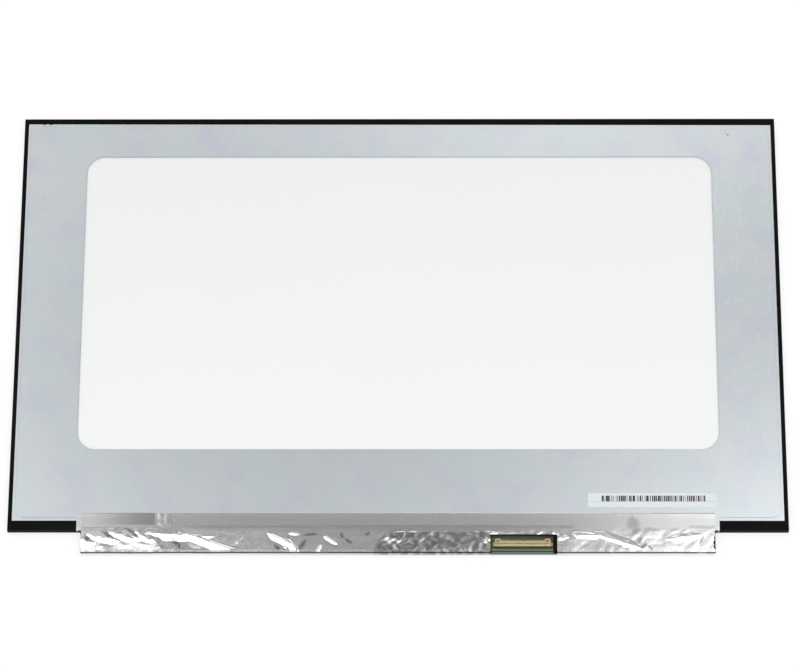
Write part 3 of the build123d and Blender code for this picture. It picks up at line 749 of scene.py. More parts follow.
class Workshop:
    """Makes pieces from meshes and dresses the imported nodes."""

    @staticmethod
    def dress(finish: Finish, *nodes: str) -> None:
        """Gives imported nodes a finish.

        Args:
            finish: The finish.
            nodes: Names of the nodes.
        """
        material = finish.material()
        for node in nodes:
            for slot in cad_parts[node].material_slots:
                slot.material = material
            LOG.info("dressed %s in %s", node, finish.name)

    @staticmethod
    def piece(name: str, mesh: bpy.types.Mesh, slot: str, finish: Finish | None = None) -> bpy.types.Object:
        """Makes a mesh in place a piece of the panel.

        Args:
            name: Name of the piece.
            mesh: Its mesh, in metres, in the panel's frame.
            slot: The record's material slot; not used.
            finish: Its finish, where the mesh has none yet.
        Returns:
            The new object.
        """
        made = bpy.data.objects.new(name, mesh)
        bpy.context.scene.collection.objects.link(made)
        if finish is not None:
            mesh.materials.clear()
            mesh.materials.append(finish.material())
        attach(made, BODY)
        LOG.info("made %s with %d faces", name, len(mesh.polygons))
        return made

    @staticmethod
    def thicken(shape: bmesh.types.BMesh, ring: list[bmesh.types.BMVert], height: float) -> None:
        """Turns a flat outline into a closed flake.

        Args:
            shape: The shape that has the outline.
            ring: The outline's points.
            height: Thickness of the flake, upwards.
        """
        face = shape.faces.new(ring)
        raised = bmesh.ops.extrude_face_region(shape, geom=[face])
        tops = [part for part in raised["geom"] if isinstance(part, bmesh.types.BMVert)]
        bmesh.ops.translate(shape, vec=(0, 0, height), verts=tops)
        bmesh.ops.recalc_face_normals(shape, faces=shape.faces)

    @staticmethod
    def mesh(name: str, shape: bmesh.types.BMesh, smooth: bool = False) -> bpy.types.Mesh:
        """Turns a shape drawn in millimetres into a mesh in metres.

        Args:
            name: Name of the mesh.
            shape: The shape, which is freed.
            smooth: Whether its faces are shaded smooth.
        Returns:
            The mesh.
        """
        bmesh.ops.scale(shape, vec=(MM, MM, MM), verts=shape.verts)
        for face in shape.faces:
            face.smooth = smooth
        made = bpy.data.meshes.new(name)
        shape.to_mesh(made)
        shape.free()
        return made

    @staticmethod
    def grown(name: str, tree: Tree, inputs: dict[str, Any]) -> bpy.types.Mesh:
        """Runs a geometry node tree and keeps its result as a plain mesh.

        Args:
            name: Name of the mesh.
            tree: The tree.
            inputs: Values of its inputs by name.
        Returns:
            The mesh.
        """
        holder = bpy.data.objects.new(f"{name}_holder", bpy.data.meshes.new(f"{name}_empty"))
        bpy.context.scene.collection.objects.link(holder)
        modifier = holder.modifiers.new("grow", "NODES")
        modifier.node_group = tree
        for item in tree.interface.items_tree:
            if item.item_type == "SOCKET" and item.in_out == "INPUT" and item.name in inputs:
                modifier[item.identifier] = inputs[item.name]
        graph = bpy.context.evaluated_depsgraph_get()
        made = bpy.data.meshes.new_from_object(holder.evaluated_get(graph))
        made.name = name
        holder.modifiers.remove(modifier)
        bpy.data.objects.remove(holder)
        return made


class RepeatTree:
    """Geometry node trees for what repeats along a line."""

    @staticmethod
    def start(name: str, inputs: dict[str, str]) -> tuple[Wiring, Node, Node]:
        """Makes an empty tree with its sockets.

        Args:
            name: Name of the tree.
            inputs: Socket type of each input by name.
        Returns:
            The wiring, the input node and the output node.
        """
        tree = bpy.data.node_groups.new(name, "GeometryNodeTree")
        for label, kind in inputs.items():
            tree.interface.new_socket(name=label, in_out="INPUT", socket_type=kind)
        tree.interface.new_socket(name="Geometry", in_out="OUTPUT", socket_type="NodeSocketGeometry")
        return Wiring(tree), tree.nodes.new("NodeGroupInput"), tree.nodes.new("NodeGroupOutput")

    @staticmethod
    def end(wiring: Wiring, instances: Socket, given: Node, end: Node) -> None:
        """Makes the instances real and gives them their material.

        Args:
            wiring: The tree's wiring.
            instances: The instances.
            given: The input node, which has the material.
            end: The output node.
        """
        real = wiring.add("GeometryNodeRealizeInstances", Geometry=instances)
        dressed = wiring.add(
            "GeometryNodeSetMaterial", Geometry=real.outputs[0], Material=given.outputs["Material"]
        )
        wiring.fill(end.inputs["Geometry"], dressed.outputs[0])

    @staticmethod
    def bars() -> Tree:
        """Upright bars of uneven width and spacing along a line.

        Returns:
            The tree.
        """
        wiring, given, end = RepeatTree.start("bar_strip", {
            "Count": "NodeSocketInt", "First": "NodeSocketVector", "Pitch": "NodeSocketFloat",
            "Height": "NodeSocketFloat", "Depth": "NodeSocketFloat", "Narrow": "NodeSocketFloat",
            "Wide": "NodeSocketFloat", "Shift": "NodeSocketFloat", "Seed": "NodeSocketInt",
            "Material": "NodeSocketMaterial",
        })
        size = given.outputs
        step = wiring.add("ShaderNodeCombineXYZ", X=size["Pitch"])
        line = wiring.add(
            "GeometryNodeMeshLine", Count=size["Count"], Start_Location=size["First"], Offset=step.outputs[0]
        )
        shift = wiring.add("FunctionNodeRandomValue", {"data_type": "FLOAT"})
        wiring.fill(shift.inputs[2], wiring.math("MULTIPLY", size["Shift"], -1.0))
        wiring.fill(shift.inputs[3], size["Shift"])
        wiring.fill(shift.inputs["Seed"], size["Seed"])
        moved = wiring.add(
            "GeometryNodeSetPosition", Geometry=line.outputs[0],
            Offset=wiring.add("ShaderNodeCombineXYZ", X=shift.outputs[1]).outputs[0],
        )
        width = wiring.add("FunctionNodeRandomValue", {"data_type": "FLOAT"})
        wiring.fill(width.inputs[2], size["Narrow"])
        wiring.fill(width.inputs[3], size["Wide"])
        wiring.fill(width.inputs["Seed"], wiring.math("ADD", size["Seed"], 1.0))
        scale = wiring.add("ShaderNodeCombineXYZ", X=width.outputs[1], Y=size["Height"], Z=size["Depth"])
        block = wiring.add("GeometryNodeMeshCube")
        placed = wiring.add(
            "GeometryNodeInstanceOnPoints", Points=moved.outputs[0], Instance=block.outputs[0],
            Scale=scale.outputs[0],
        )
        RepeatTree.end(wiring, placed.outputs[0], given, end)
        return wiring.tree

    @staticmethod
    def mounds() -> Tree:
        """Low mounds at an even pitch along a line, for solder joints and pads.

        Returns:
            The tree.
        """
        wiring, given, end = RepeatTree.start("row_of_mounds", {
            "Count": "NodeSocketInt", "First": "NodeSocketVector", "Pitch": "NodeSocketFloat",
            "Top Radius": "NodeSocketFloat", "Bottom Radius": "NodeSocketFloat", "Height": "NodeSocketFloat",
            "Stretch": "NodeSocketFloat", "Material": "NodeSocketMaterial",
        })
        size = given.outputs
        step = wiring.add("ShaderNodeCombineXYZ", X=size["Pitch"])
        line = wiring.add(
            "GeometryNodeMeshLine", Count=size["Count"], Start_Location=size["First"], Offset=step.outputs[0]
        )
        mound = wiring.add(
            "GeometryNodeMeshCone", Vertices=12, Radius_Top=size["Top Radius"],
            Radius_Bottom=size["Bottom Radius"], Depth=size["Height"],
        )
        scale = wiring.add("ShaderNodeCombineXYZ", X=1.0, Y=size["Stretch"], Z=1.0)
        placed = wiring.add(
            "GeometryNodeInstanceOnPoints", Points=line.outputs[0], Instance=mound.outputs[0],
            Scale=scale.outputs[0],
        )
        RepeatTree.end(wiring, placed.outputs[0], given, end)
        return wiring.tree


@dataclass
class BackCover:
    """The pressed chassis, the white sheet in its window, and the specks that lie on it.

    Attributes:
        panel: Shared places.
        speck_places: Middle, half length and half width of each speck, in millimetres.
        speck_turn: How far the specks lie turned, in radians.
        speck_height: Height of a speck.
        speck_corners: Corners of a speck's outline.
        speck_reach: Least and greatest reach of a corner, as a share of the speck's size.
        seed: Seed of the specks' uneven outlines.
    """

    panel: Panel
    speck_places: tuple[tuple[float, float, float, float], ...] = (
        (153.4, 99.7, 0.62, 0.3),
        (152.2, 100.6, 0.3, 0.2),
        (-165.3, 67.9, 0.3, 0.22),
    )
    speck_turn: float = -0.7
    speck_height: float = 0.02
    speck_corners: int = 9
    speck_reach: Span = (0.7, 1.0)
    seed: int = 5

    def build(self) -> None:
        """Dresses the chassis and the sheet, and lays the specks."""
        window = self.panel.window()
        sheet = RolledSheet(
            "rolled_sheet", (0.785, 0.815, 0.838), 0.277, metallic=1.0, grain_mm=0.9, grain_contrast=0.012,
            roughness_spread=0.002, bump_mm=0.0001, drift=1.0, drift_mm=14.0, drift_detail=3.0, window=window,
            tints=((0.935, 0.94, 1.02), (0.95, 1.015, 1.0)),
        )
        white = WindowSheet(
            "white_film", (0.8, 0.815, 0.81), 0.55, specular=0.3, grain_mm=1.4, grain_contrast=0.004,
            bump_mm=0.001, drift=0.4, drift_mm=70.0, tints=((0.985, 0.99, 1.0), (1.0, 0.995, 1.005)),
            window=window,
        )
        Workshop.dress(sheet, "rear_chassis")
        Workshop.dress(white, "reflector_sheet")
        dust = Finish("grey_speck", (0.12, 0.13, 0.14), 0.6, grain_mm=0.2, grain_contrast=0.3)
        Workshop.piece("chassis_specks", self.specks(), "chassis_metal", dust)

    def specks(self) -> bpy.types.Mesh:
        """Draws the specks as small uneven flakes on the chassis.

        Returns:
            The mesh.
        """
        draw = Random(self.seed)
        shape = bmesh.new()
        turn = Matrix.Rotation(self.speck_turn, 3, "Z")
        for x, y, half_length, half_width in self.speck_places:
            ring = []
            for step in range(self.speck_corners):
                angle = step * math.tau / self.speck_corners
                reach = draw.uniform(*self.speck_reach)
                spot = Vector((math.cos(angle) * half_length, math.sin(angle) * half_width, 0)) * reach
                ring.append(shape.verts.new(Vector((x, y, self.panel.back)) + turn @ spot))
            Workshop.thicken(shape, ring, self.speck_height)
        return Workshop.mesh("chassis_specks", shape)


@dataclass
class EdgeTapes:
    """The black tape folded round the panel's edges, with small burrs along the top strip.

    Attributes:
        panel: Shared places.
        burr_places: Place along X and half width of each burr, in millimetres.
        burr_drop: How far a burr stands out below the strip's edge.
        burr_steps: Straight steps in a burr's round edge.
        strip_drop: How far the strip's lower edge lies below the panel's top at the left.
        tape: Thickness of the tape.
    """

    panel: Panel
    burr_places: Line = ((-166.2, 0.55), (-163.1, 0.75))
    burr_drop: float = 0.32
    burr_steps: int = 6
    strip_drop: float = 2.62
    tape: float = 0.06

    def build(self) -> None:
        """Dresses the tapes and adds the burrs."""
        tape = self.finish()
        Workshop.dress(tape, "top_edge_tape", "left_edge_tape", "right_edge_tape", "left_corner_tape")
        Workshop.dress(tape, "right_corner_tape", "rim_tape", "driver_cover_tape")
        Workshop.piece("tape_burrs", self.burrs(), "black_tape", tape)

    @staticmethod
    def finish() -> Finish:
        """Gives the tape's finish."""
        return Finish(
            "black_tape", (0.0045, 0.0046, 0.0047), 0.48, specular=0.045, grain_mm=0.35, grain_contrast=0.25,
            roughness_spread=0.1, bump_mm=0.004, drift=0.8, drift_mm=22.0,
            tints=((0.7, 0.75, 0.8), (1.6, 1.55, 1.35)),
        )

    def burrs(self) -> bpy.types.Mesh:
        """Draws the burrs as half-round tabs at the strip's lower edge.

        Returns:
            The mesh.
        """
        low = self.panel.box("top_edge_tape")[1].z - self.tape
        edge = self.panel.top - self.strip_drop
        shape = bmesh.new()
        for x, half in self.burr_places:
            outline = []
            for step in range(self.burr_steps + 1):
                angle = math.pi + step * math.pi / self.burr_steps
                spot = (x + half * math.cos(angle), edge + self.burr_drop * math.sin(angle), low)
                outline.append(shape.verts.new(spot))
            Workshop.thicken(shape, outline, self.tape)
        return Workshop.mesh("tape_burrs", shape)


@dataclass(frozen=True)
class Fold:
    """A straight fold in the foil, pointed at both ends: an upper face, a lower face and then a dip.

    Attributes:
        along: Its middle along the foil, in millimetres.
        drop: Its middle below the crease, in millimetres.
        turn: How far it turns downwards to the right from the foil's length, in degrees.
        length: Its length.
        upper: Width of its upper face.
        lower: Width of its lower face, which looks down the slope.
        height: Height of the ridge.
        dip: Depth of the dip at the foot of the lower face.
        back: Width of the face that leads out of the dip.
    """

    along: float
    drop: float
    turn: float
    length: float
    upper: float
    lower: float
    height: float
    dip: float = 0.0
    back: float = 1.0

    def rise(self, along: float, drop: float) -> float:
        """Gives the fold's height at a place.

        Args:
            along: Place along the foil.
            drop: Place below the crease.
        Returns:
            The height there, in millimetres.
        """
        angle = math.radians(self.turn)
        east, south = along - self.along, drop - self.drop
        down = south * math.cos(angle) - east * math.sin(angle)
        run = abs(east * math.cos(angle) + south * math.sin(angle))
        point = self.length / 4
        taper = min(1.0, (self.length / 2 - run) / point)
        if taper <= 0:
            return 0.0
        down /= taper
        if not -self.upper < down < self.lower + self.back:
            return 0.0
        if down < 0:
            face = self.height * (1 + down / self.upper)
        elif down < self.lower:
            face = self.height - (self.height + self.dip) * down / self.lower
        else:
            face = self.dip * ((down - self.lower) / self.back - 1)
        return face * taper


@dataclass(frozen=True)
class Mark:
    """A pointed mark of painted shade on the foil.

    Attributes:
        along: Its middle along the foil, in millimetres.
        drop: Its middle below the crease, in millimetres.
        turn: How far it turns downwards to the right from the foil's length, in degrees.
        length: Its length.
        width: Its width.
        firmness: How steeply it fades out at its outline.
    """

    along: float
    drop: float
    turn: float
    length: float
    width: float
    firmness: float = 1.6

    def share(self, along: float, drop: float) -> float:
        """Gives how strong the mark is at a place, fading out towards its outline.

        Args:
            along: Place along the foil.
            drop: Place below the crease.
        Returns:
            A share from 0 to 1.
        """
        angle = math.radians(self.turn)
        east, south = along - self.along, drop - self.drop
        down = abs(south * math.cos(angle) - east * math.sin(angle)) / (self.width / 2)
        run = abs(east * math.cos(angle) + south * math.sin(angle)) / (self.length / 2)
        return min(1.0, max(0.0, self.firmness * (1.0 - down - run ** 2)))


@dataclass(frozen=True)
class Cloud:
    """A slow random change over the foil.

    Attributes:
        long: Size of its patches along the foil, in millimetres.
        deep: Their size across it.
        layer: Which layer of the noise it reads.
    """

    long: float
    deep: float
    layer: float

    def value(self, along: float, drop: float, further: float = 0.0) -> float:
        """Gives the change at a place, about from -1 to 1.

        Args:
            along: Place along the foil.
            drop: Place below the crease.
            further: How far beyond its own layer it reads.
        Returns:
            The value there.
        """
        return noise.noise(Vector((along / self.long, drop / self.deep, self.layer + further)))


@dataclass(frozen=True)
class Ripple:
    """One set of straight crumples that cross the foil, sharp at their ridges.

    Attributes:
        turn: Direction of the crumples, in radians.
        pitch: Distance between them, in millimetres.
        height: Their height.
        start: Where the first one lies.
        patch: Which part of the noise decides where they show.
        sway: How far they bend from straight, in millimetres.
        bends: Where they bend.
        shows: Where they show.
        shown: Share of their height that shows on average.
        shown_spread: How far that share varies.
    """

    turn: float
    pitch: float
    height: float
    start: float
    patch: float
    sway: float = 2.2
    bends: Cloud = Cloud(11.0, 6.0, 0.0)
    shows: Cloud = Cloud(16.0, 9.0, 40.0)
    shown: float = 0.5
    shown_spread: float = 1.6

    def rise(self, along: float, drop: float) -> float:
        """Gives the crumples' height at a place.

        Args:
            along: Place along the foil.
            drop: Place below the crease.
        Returns:
            The height there, in millimetres.
        """
        sway = self.sway * self.bends.value(along, drop, self.patch)
        across = along * math.cos(self.turn) + drop * math.sin(self.turn) + sway
        phase = across / self.pitch + self.start
        wave = abs(2 * (phase - math.floor(phase + 0.5)))
        share = self.shown + self.shown_spread * self.shows.value(along, drop, self.patch)
        return self.height * wave * min(1.0, max(0.0, share))


@dataclass
class ShieldFoil:
    """The crinkled foil over the board and the black film under it.

    Places along the foil are X, and places below the crease count downwards from it, all in millimetres.
    A bent line is a tuple of pairs: a place and the value there.

    Attributes:
        panel: Shared places.
        thickness: Thickness of the foil.
        crease_above: The crease's height above the panel's lower edge, along Y.
        cut_left: Gap between the socket and the foil at the left.
        cut_right: Gap at the right.
        cut_top: How far the cut-out starts below the board's upper edge.
        column_pitch: Width of the mesh's columns.
        row_pitch: Height of the mesh's rows.
        sharp_angle: Bend, in radians, from which an edge is shaded sharp.
        seed: Seed of the random crumples.
        ripple_count: Sets of random crumples all over the loose part.
        ripple_pitch: Least and greatest pitch of theirs.
        ripple_height: Least and greatest height of theirs.
        patch_step: Distance in the noise from one set of crumples to the next.
        calm: Share of those crumples that shows along the foil, as a bent line.
        lap: Z of the part that is stuck to the chassis, as a bent line above the crease.
        bed: Z of the loose part, as a bent line below the crease.
        end_bed: The same at the left end, where the foil sags more.
        end_bed_reach: Where along the foil it sags fully, and where no more.
        loose_reach: How far below the crease the loose part's folds have their full height.
        unevenness: Height of the slow waves of the stuck part.
        wave_cloud: Where those waves lie.
        folds: The large folds of the loose part.
        marks: Its marks of painted shade.
        lap_folds: The folds of the stuck part.
        lap_marks: Its marks of painted shade.
        lap_mark_share: How strong those are.
        pillow_along: Middle of the cloudy pillow in the stuck part.
        pillow_reach: Half of its width.
        pillow_height: Its height.
        pillow_power: How squarely it ends at its sides.
        pillow_fade: How far above the crease it has its full height.
        pillow_cloud: Its cloudy surface.
        bulge_start: Where along the foil the bulge left of the socket has its full height.
        bulge_run: How far its round end reaches left from there.
        bulge_foot: How far its foot lies below the crease.
        bulge_reach: Its height along Y, from the foot.
        bulge_edge: Width of the edge over which it rises.
        bulge_sink: How far it lies lower before its crumples raise it.
        bulge_ripple_count: Sets of crumples on it.
        bulge_ripple_pitch: Least and greatest pitch of theirs.
        bulge_ripple_height: Least and greatest height of theirs.
        bulge_shade: Its middle share of painted shade.
        bulge_shade_spread: How far that varies.
        bulge_cloud: Where it varies.
        bulge_rim_shade: How far left of X 0 the painted shade along its rim has its full strength.
        lowest: The least Z of the loose part, clear of the parts under it.
        spare: How far crumples may stand above the plain foil.
        flap_shade: Painted shade on the stuck part, as a bent line along the foil.
        sheet_shade: Painted shade on the loose part, as a bent line along the foil.
        crease_shade: Painted shade along the crease, as a bent line below it.
        crease_shade_reach: How strong that is along the foil, as a bent line.
        torn_drop: How far the torn right end stands in, as a bent line below the crease.
        torn_reach: How far from the end the tear is felt.
        turn_slack: How far the foil may stand in from the board's lower edge, at most.
        turn_patch: Size of the patches in which that varies.
        turn_line: Line of the noise that it follows.
        turn_jitter: How far each column may differ from it.
        turn_bend: Drop of each half of the bend at that edge.
        turn_bend_spread: How far that drop varies.
        bend_patch: Size of the patches in which it varies.
        bend_line: Line of the noise that it follows.
        slope: Points above the edge: how far in each lies, its drop, and how many half bends it is lower.
        edge_above: How far above the board's upper face the foil meets the edge.
        edge_below: How far below that face its next point lies.
        edge_foot: How far above the foil's lowest part it starts to turn under the board.
        edge_turn: How far in it has turned at its lowest part.
        lip: How far the foil reaches under the board.
        fine_start: How far below the crease the fine creases start.
        fine_run: How far from there they have their full strength.
        ripples: The crumples that were drawn.
        bulge_ripples: The bulge's crumples that were drawn.
    """

    panel: Panel
    thickness: float = 0.04
    crease_above: float = 1.5
    cut_left: float = 1.0
    cut_right: float = 2.0
    cut_top: float = 1.05
    column_pitch: float = 0.42
    row_pitch: float = 0.34
    sharp_angle: float = 0.3
    seed: int = 21
    ripple_count: int = 9
    ripple_pitch: Span = (3.5, 13.0)
    ripple_height: Span = (0.03, 0.1)
    patch_step: float = 9.0
    calm: Line = (
        (-141.0, 1.0), (-108.0, 0.8), (-96.0, 0.15), (-70.0, 0.08), (-10.0, 0.08), (0.0, 0.3), (90.0, 0.3),
        (141.0, 0.4),
    )
    lap: Line = ((-6.9, 3.142), (-6.7, 3.172), (-4.5, 3.148), (0.0, 3.148))
    bed: Line = ((0.0, 3.148), (10.4, 2.93))
    end_bed: Line = ((0.0, 3.148), (4.0, 3.06), (10.4, 2.62))
    end_bed_reach: Span = (-118.0, -100.0)
    loose_reach: float = 2.0
    unevenness: float = 0.004
    wave_cloud: Cloud = Cloud(14.0, 5.0, 3.0)
    folds: tuple[Fold, ...] = (
        Fold(-97.0, 3.6, 3.0, 31.0, 0.8, 3.2, 0.1, 0.2, 4.2),
        Fold(-80.0, 8.4, 19.5, 42.0, 0.9, 3.2, 0.15, 0.18, 3.0),
        Fold(-124.0, 3.4, 24.0, 16.0, 0.8, 2.4, 0.12, 0.08, 1.5),
        Fold(-132.0, 4.6, 14.0, 18.0, 1.0, 2.8, 0.1, 0.08, 1.5),
        Fold(-114.0, 4.0, 40.0, 12.0, 0.7, 1.8, 0.12, 0.06, 1.0),
        Fold(-71.0, 5.0, -55.0, 8.0, 0.8, 1.4, 0.06),
        Fold(-52.6, 5.4, 27.0, 15.0, 0.6, 2.4, 0.14, 0.1, 1.4),
        Fold(-46.6, 8.6, 48.0, 11.0, 0.6, 2.8, 0.18, 0.14, 1.2),
        Fold(-46.5, 2.8, 5.0, 6.0, 0.4, 1.1, 0.1),
        Fold(-35.5, 10.0, -62.0, 6.0, 0.5, 1.0, 0.16),
        Fold(-30.0, 5.8, 34.0, 9.0, 0.5, 1.4, 0.12, 0.08, 1.0),
        Fold(39.2, 6.3, 70.0, 3.0, 0.4, 1.0, 0.12),
        Fold(43.3, 2.5, 2.0, 3.6, 0.4, 0.8, 0.1),
        Fold(63.5, 2.5, -20.0, 3.0, 0.4, 0.6, 0.1),
        Fold(70.6, 2.7, 24.0, 4.0, 0.4, 0.8, 0.1),
        Fold(73.4, 5.2, -8.0, 4.4, 0.5, 1.0, 0.12),
        Fold(75.2, 4.2, 30.0, 3.6, 0.4, 0.9, 0.12),
        Fold(84.5, 3.2, 4.0, 16.0, 0.8, 2.6, 0.16),
        Fold(98.5, 6.2, 20.0, 26.0, 2.4, 1.6, 0.24),
        Fold(128.0, 4.4, -8.0, 17.0, 1.4, 3.0, 0.14),
    )
    marks: tuple[Mark, ...] = (
        Mark(-139.5, 5.8, 70.0, 4.0, 3.2),
        Mark(-130.0, 3.6, 30.0, 8.0, 2.2),
        Mark(-119.0, 2.6, 35.0, 9.0, 2.6),
        Mark(-100.0, 6.4, 50.0, 7.0, 2.9),
        Mark(-98.0, 8.6, 75.0, 4.0, 1.6),
        Mark(-53.9, 9.7, 45.0, 4.5, 2.2),
        Mark(-42.5, 8.0, -58.0, 7.0, 2.9),
        Mark(-39.0, 3.4, -5.0, 9.0, 2.2),
        Mark(-25.0, 4.0, 65.0, 4.0, 2.2),
        Mark(-22.0, 6.6, 30.0, 5.0, 2.7),
        Mark(-13.5, 3.3, -35.0, 3.5, 2.1),
        Mark(4.0, 3.0, 0.0, 18.0, 1.6),
        Mark(24.0, 3.2, 3.0, 20.0, 1.5),
        Mark(108.6, 6.4, -60.0, 5.0, 1.8),
        Mark(110.0, 9.2, -40.0, 6.0, 1.8),
        Mark(113.0, 9.6, 40.0, 4.0, 1.4),
        Mark(136.0, 6.2, -62.0, 6.0, 1.6),
    )
    lap_folds: tuple[Fold, ...] = (Fold(-101.9, -3.0, 88.0, 7.0, 0.5, 0.6, 0.03),)
    lap_marks: tuple[Mark, ...] = (Mark(105.6, -1.4, 80.0, 10.0, 7.4),)
    lap_mark_share: float = 0.5
    pillow_along: float = -104.8
    pillow_reach: float = 3.0
    pillow_height: float = 0.066
    pillow_power: int = 4
    pillow_fade: float = 1.5
    pillow_cloud: Cloud = Cloud(1.9, 2.2, 5.0)
    bulge_start: float = 2.0
    bulge_run: float = 12.3
    bulge_foot: float = 12.2
    bulge_reach: float = 10.3
    bulge_edge: float = 0.6
    bulge_sink: float = 0.03
    bulge_ripple_count: int = 5
    bulge_ripple_pitch: Span = (3.2, 7.5)
    bulge_ripple_height: Span = (0.05, 0.1)
    bulge_shade: float = 0.8
    bulge_shade_spread: float = 0.9
    bulge_cloud: Cloud = Cloud(2.4, 1.7, 7.0)
    bulge_rim_shade: float = 4.0
    lowest: float = 2.62
    spare: float = 0.05
    flap_shade: Line = (
        (-137.0, 0.0), (-128.0, 0.2), (-115.0, 0.55), (-109.4, 0.6), (-108.9, 0.0),
    )
    sheet_shade: Line = (
        (-62.0, 0.0), (-45.0, 0.22), (-10.0, 0.28), (40.0, 0.28), (72.0, 0.2), (82.0, 0.0),
    )
    crease_shade: Line = ((-1.2, 0.0), (-0.4, 1.0), (0.3, 1.0), (0.9, 0.0))
    crease_shade_reach: Line = (
        (-100.0, 0.0), (-85.0, 0.25), (40.0, 0.35), (78.0, 0.3), (80.0, 0.0), (130.0, 0.0), (131.0, 0.4),
    )
    torn_drop: Line = (
        (3.6, 0.0), (5.0, 0.6), (6.0, 0.3), (7.2, 1.0), (8.2, 0.4), (9.6, 0.8), (10.6, 0.0),
    )
    torn_reach: float = 2.5
    turn_slack: float = 0.16
    turn_patch: float = 6.0
    turn_line: Span = (8.0, 1.0)
    turn_jitter: float = 0.03
    turn_bend: float = 0.27
    turn_bend_spread: float = 0.12
    bend_patch: float = 13.0
    bend_line: Span = (2.0, 6.0)
    slope: tuple[tuple[float, float, int], ...] = (
        (1.2, 0.02, 0), (0.55, 0.04, 0), (0.25, 0.04, 1), (-0.01, 0.06, 2),
    )
    edge_above: float = 0.2
    edge_below: float = 0.1
    edge_foot: float = 0.05
    edge_turn: float = 0.12
    lip: float = 4.0
    fine_start: float = 0.4
    fine_run: float = 1.2
    ripples: list[Ripple] = field(init=False)
    bulge_ripples: list[Ripple] = field(init=False)

    def __post_init__(self) -> None:
        """Draws the random crumples: long ones all over, and short steep ones on the bulge."""
        draw = Random(self.seed)
        self.ripples = [
            self.crumple(draw, self.ripple_pitch, self.ripple_height, self.patch_step * number)
            for number in range(self.ripple_count)
        ]
        self.bulge_ripples = [
            self.crumple(draw, self.bulge_ripple_pitch, self.bulge_ripple_height, -self.patch_step * number)
            for number in range(self.bulge_ripple_count)
        ]

    @staticmethod
    def crumple(draw: Random, pitch: Span, height: Span, patch: float) -> Ripple:
        """Draws one set of crumples.

        Args:
            draw: Source of the random values.
            pitch: Least and greatest pitch.
            height: Least and greatest height.
            patch: Which part of the noise decides where they show.
        Returns:
            The set.
        """
        turn = draw.uniform(0, math.pi)
        return Ripple(turn, draw.uniform(*pitch), draw.uniform(*height), draw.random(), patch)

    def build(self) -> None:
        """Makes the creased foil in place of the plain one and dresses the film."""
        skin = FoilSkin(
            "bright_foil", (0.97, 0.97, 0.97), 0.17, metallic=1.0, grain_mm=0.4, grain_contrast=0.02,
            bump_mm=0.0015, drift=0.5, drift_mm=18.0, tints=((0.97, 0.97, 0.99), (1.0, 0.985, 0.97)),
        )
        foil = Workshop.piece("creased_foil", self.mesh(), "foil_metal", skin)
        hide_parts("shield_foil")
        Workshop.dress(EdgeTapes.finish(), "insulating_film")

    def crease(self) -> float:
        """Gives the Y of the crease where the foil leaves the chassis's raised field."""
        return self.panel.bottom + self.crease_above

    def cut_out(self) -> tuple[float, float, float]:
        """Gives the left, right and upper edge of the cut-out round the socket.

        Returns:
            The three places, in millimetres.
        """
        left = self.panel.shell_low.x - self.cut_left
        right = self.panel.shell_high.x + self.cut_right
        return left, right, self.panel.board_high.y - self.cut_top

    def columns(self) -> list[float]:
        """Gives the X of each column, with one at each side of the cut-out.

        Returns:
            The places, from left to right.
        """
        left, right, _ = self.cut_out()
        stops = [self.panel.foil_low.x, left, right, self.panel.foil_high.x]
        found = [stops[0]]
        for start, end in zip(stops, stops[1:]):
            count = math.ceil((end - start) / self.column_pitch)
            found += [start + (end - start) * step / count for step in range(1, count + 1)]
        return found

    def drops(self) -> list[float]:
        """Gives each row's place below the crease, with one at the cut-out's upper edge.

        Returns:
            The places, from the upper edge down.
        """
        crease = self.crease()
        stops = [crease - self.panel.foil_high.y, 0.0, crease - self.cut_out()[2], self.bed[-1][0]]
        found = [stops[0]]
        for start, end in zip(stops, stops[1:]):
            count = math.ceil((end - start) / self.row_pitch)
            found += [start + (end - start) * step / count for step in range(1, count + 1)]
        return found

    @staticmethod
    def between(line: Line, place: float) -> float:
        """Reads a bent line.

        Args:
            line: The line's points, from low to high.
            place: Where it is read.
        Returns:
            Its value there.
        """
        if place <= line[0][0]:
            return line[0][1]
        for (near, start), (far, end) in zip(line, line[1:]):
            if place <= far:
                return start + (end - start) * (place - near) / (far - near)
        return line[-1][1]

    def bulge(self, along: float, drop: float) -> float:
        """Gives how far inside the bulge left of the socket a place lies.

        Args:
            along: Place along the foil.
            drop: Place below the crease.
        Returns:
            The distance from the bulge's outline, in millimetres, below 0 outside it.
        """
        if along > self.cut_out()[0]:
            return -1.0
        east = min(0.0, along - self.bulge_start) / self.bulge_run
        south = (drop - self.bulge_foot) / self.bulge_reach
        return (1.0 - math.hypot(east, south)) * self.bulge_reach

    def height(self, along: float, drop: float) -> float:
        """Gives the foil's Z at a place.

        Args:
            along: Place along the foil.
            drop: Place below the crease.
        Returns:
            The Z there, in millimetres.
        """
        if drop <= 0:
            raised = sum(fold.rise(along, drop) for fold in self.lap_folds)
            return self.between(self.lap, drop) + raised + self.waves(along, drop)
        start, end = self.end_bed_reach
        share = min(1.0, max(0.0, (end - along) / (end - start)))
        level = self.between(self.bed, drop)
        level += share * (self.between(self.end_bed, drop) - level)
        bulge = min(1.0, max(0.0, self.bulge(along, drop) / self.bulge_edge))
        raised = sum(fold.rise(along, drop) for fold in self.folds)
        raised += sum(ripple.rise(along, drop) for ripple in self.ripples) * self.between(self.calm, along)
        raised += (sum(ripple.rise(along, drop) for ripple in self.bulge_ripples) - self.bulge_sink) * bulge
        loose = min(1.0, drop / self.loose_reach)
        return min(self.panel.foil_high.z + self.spare, max(self.lowest, level + raised * loose))

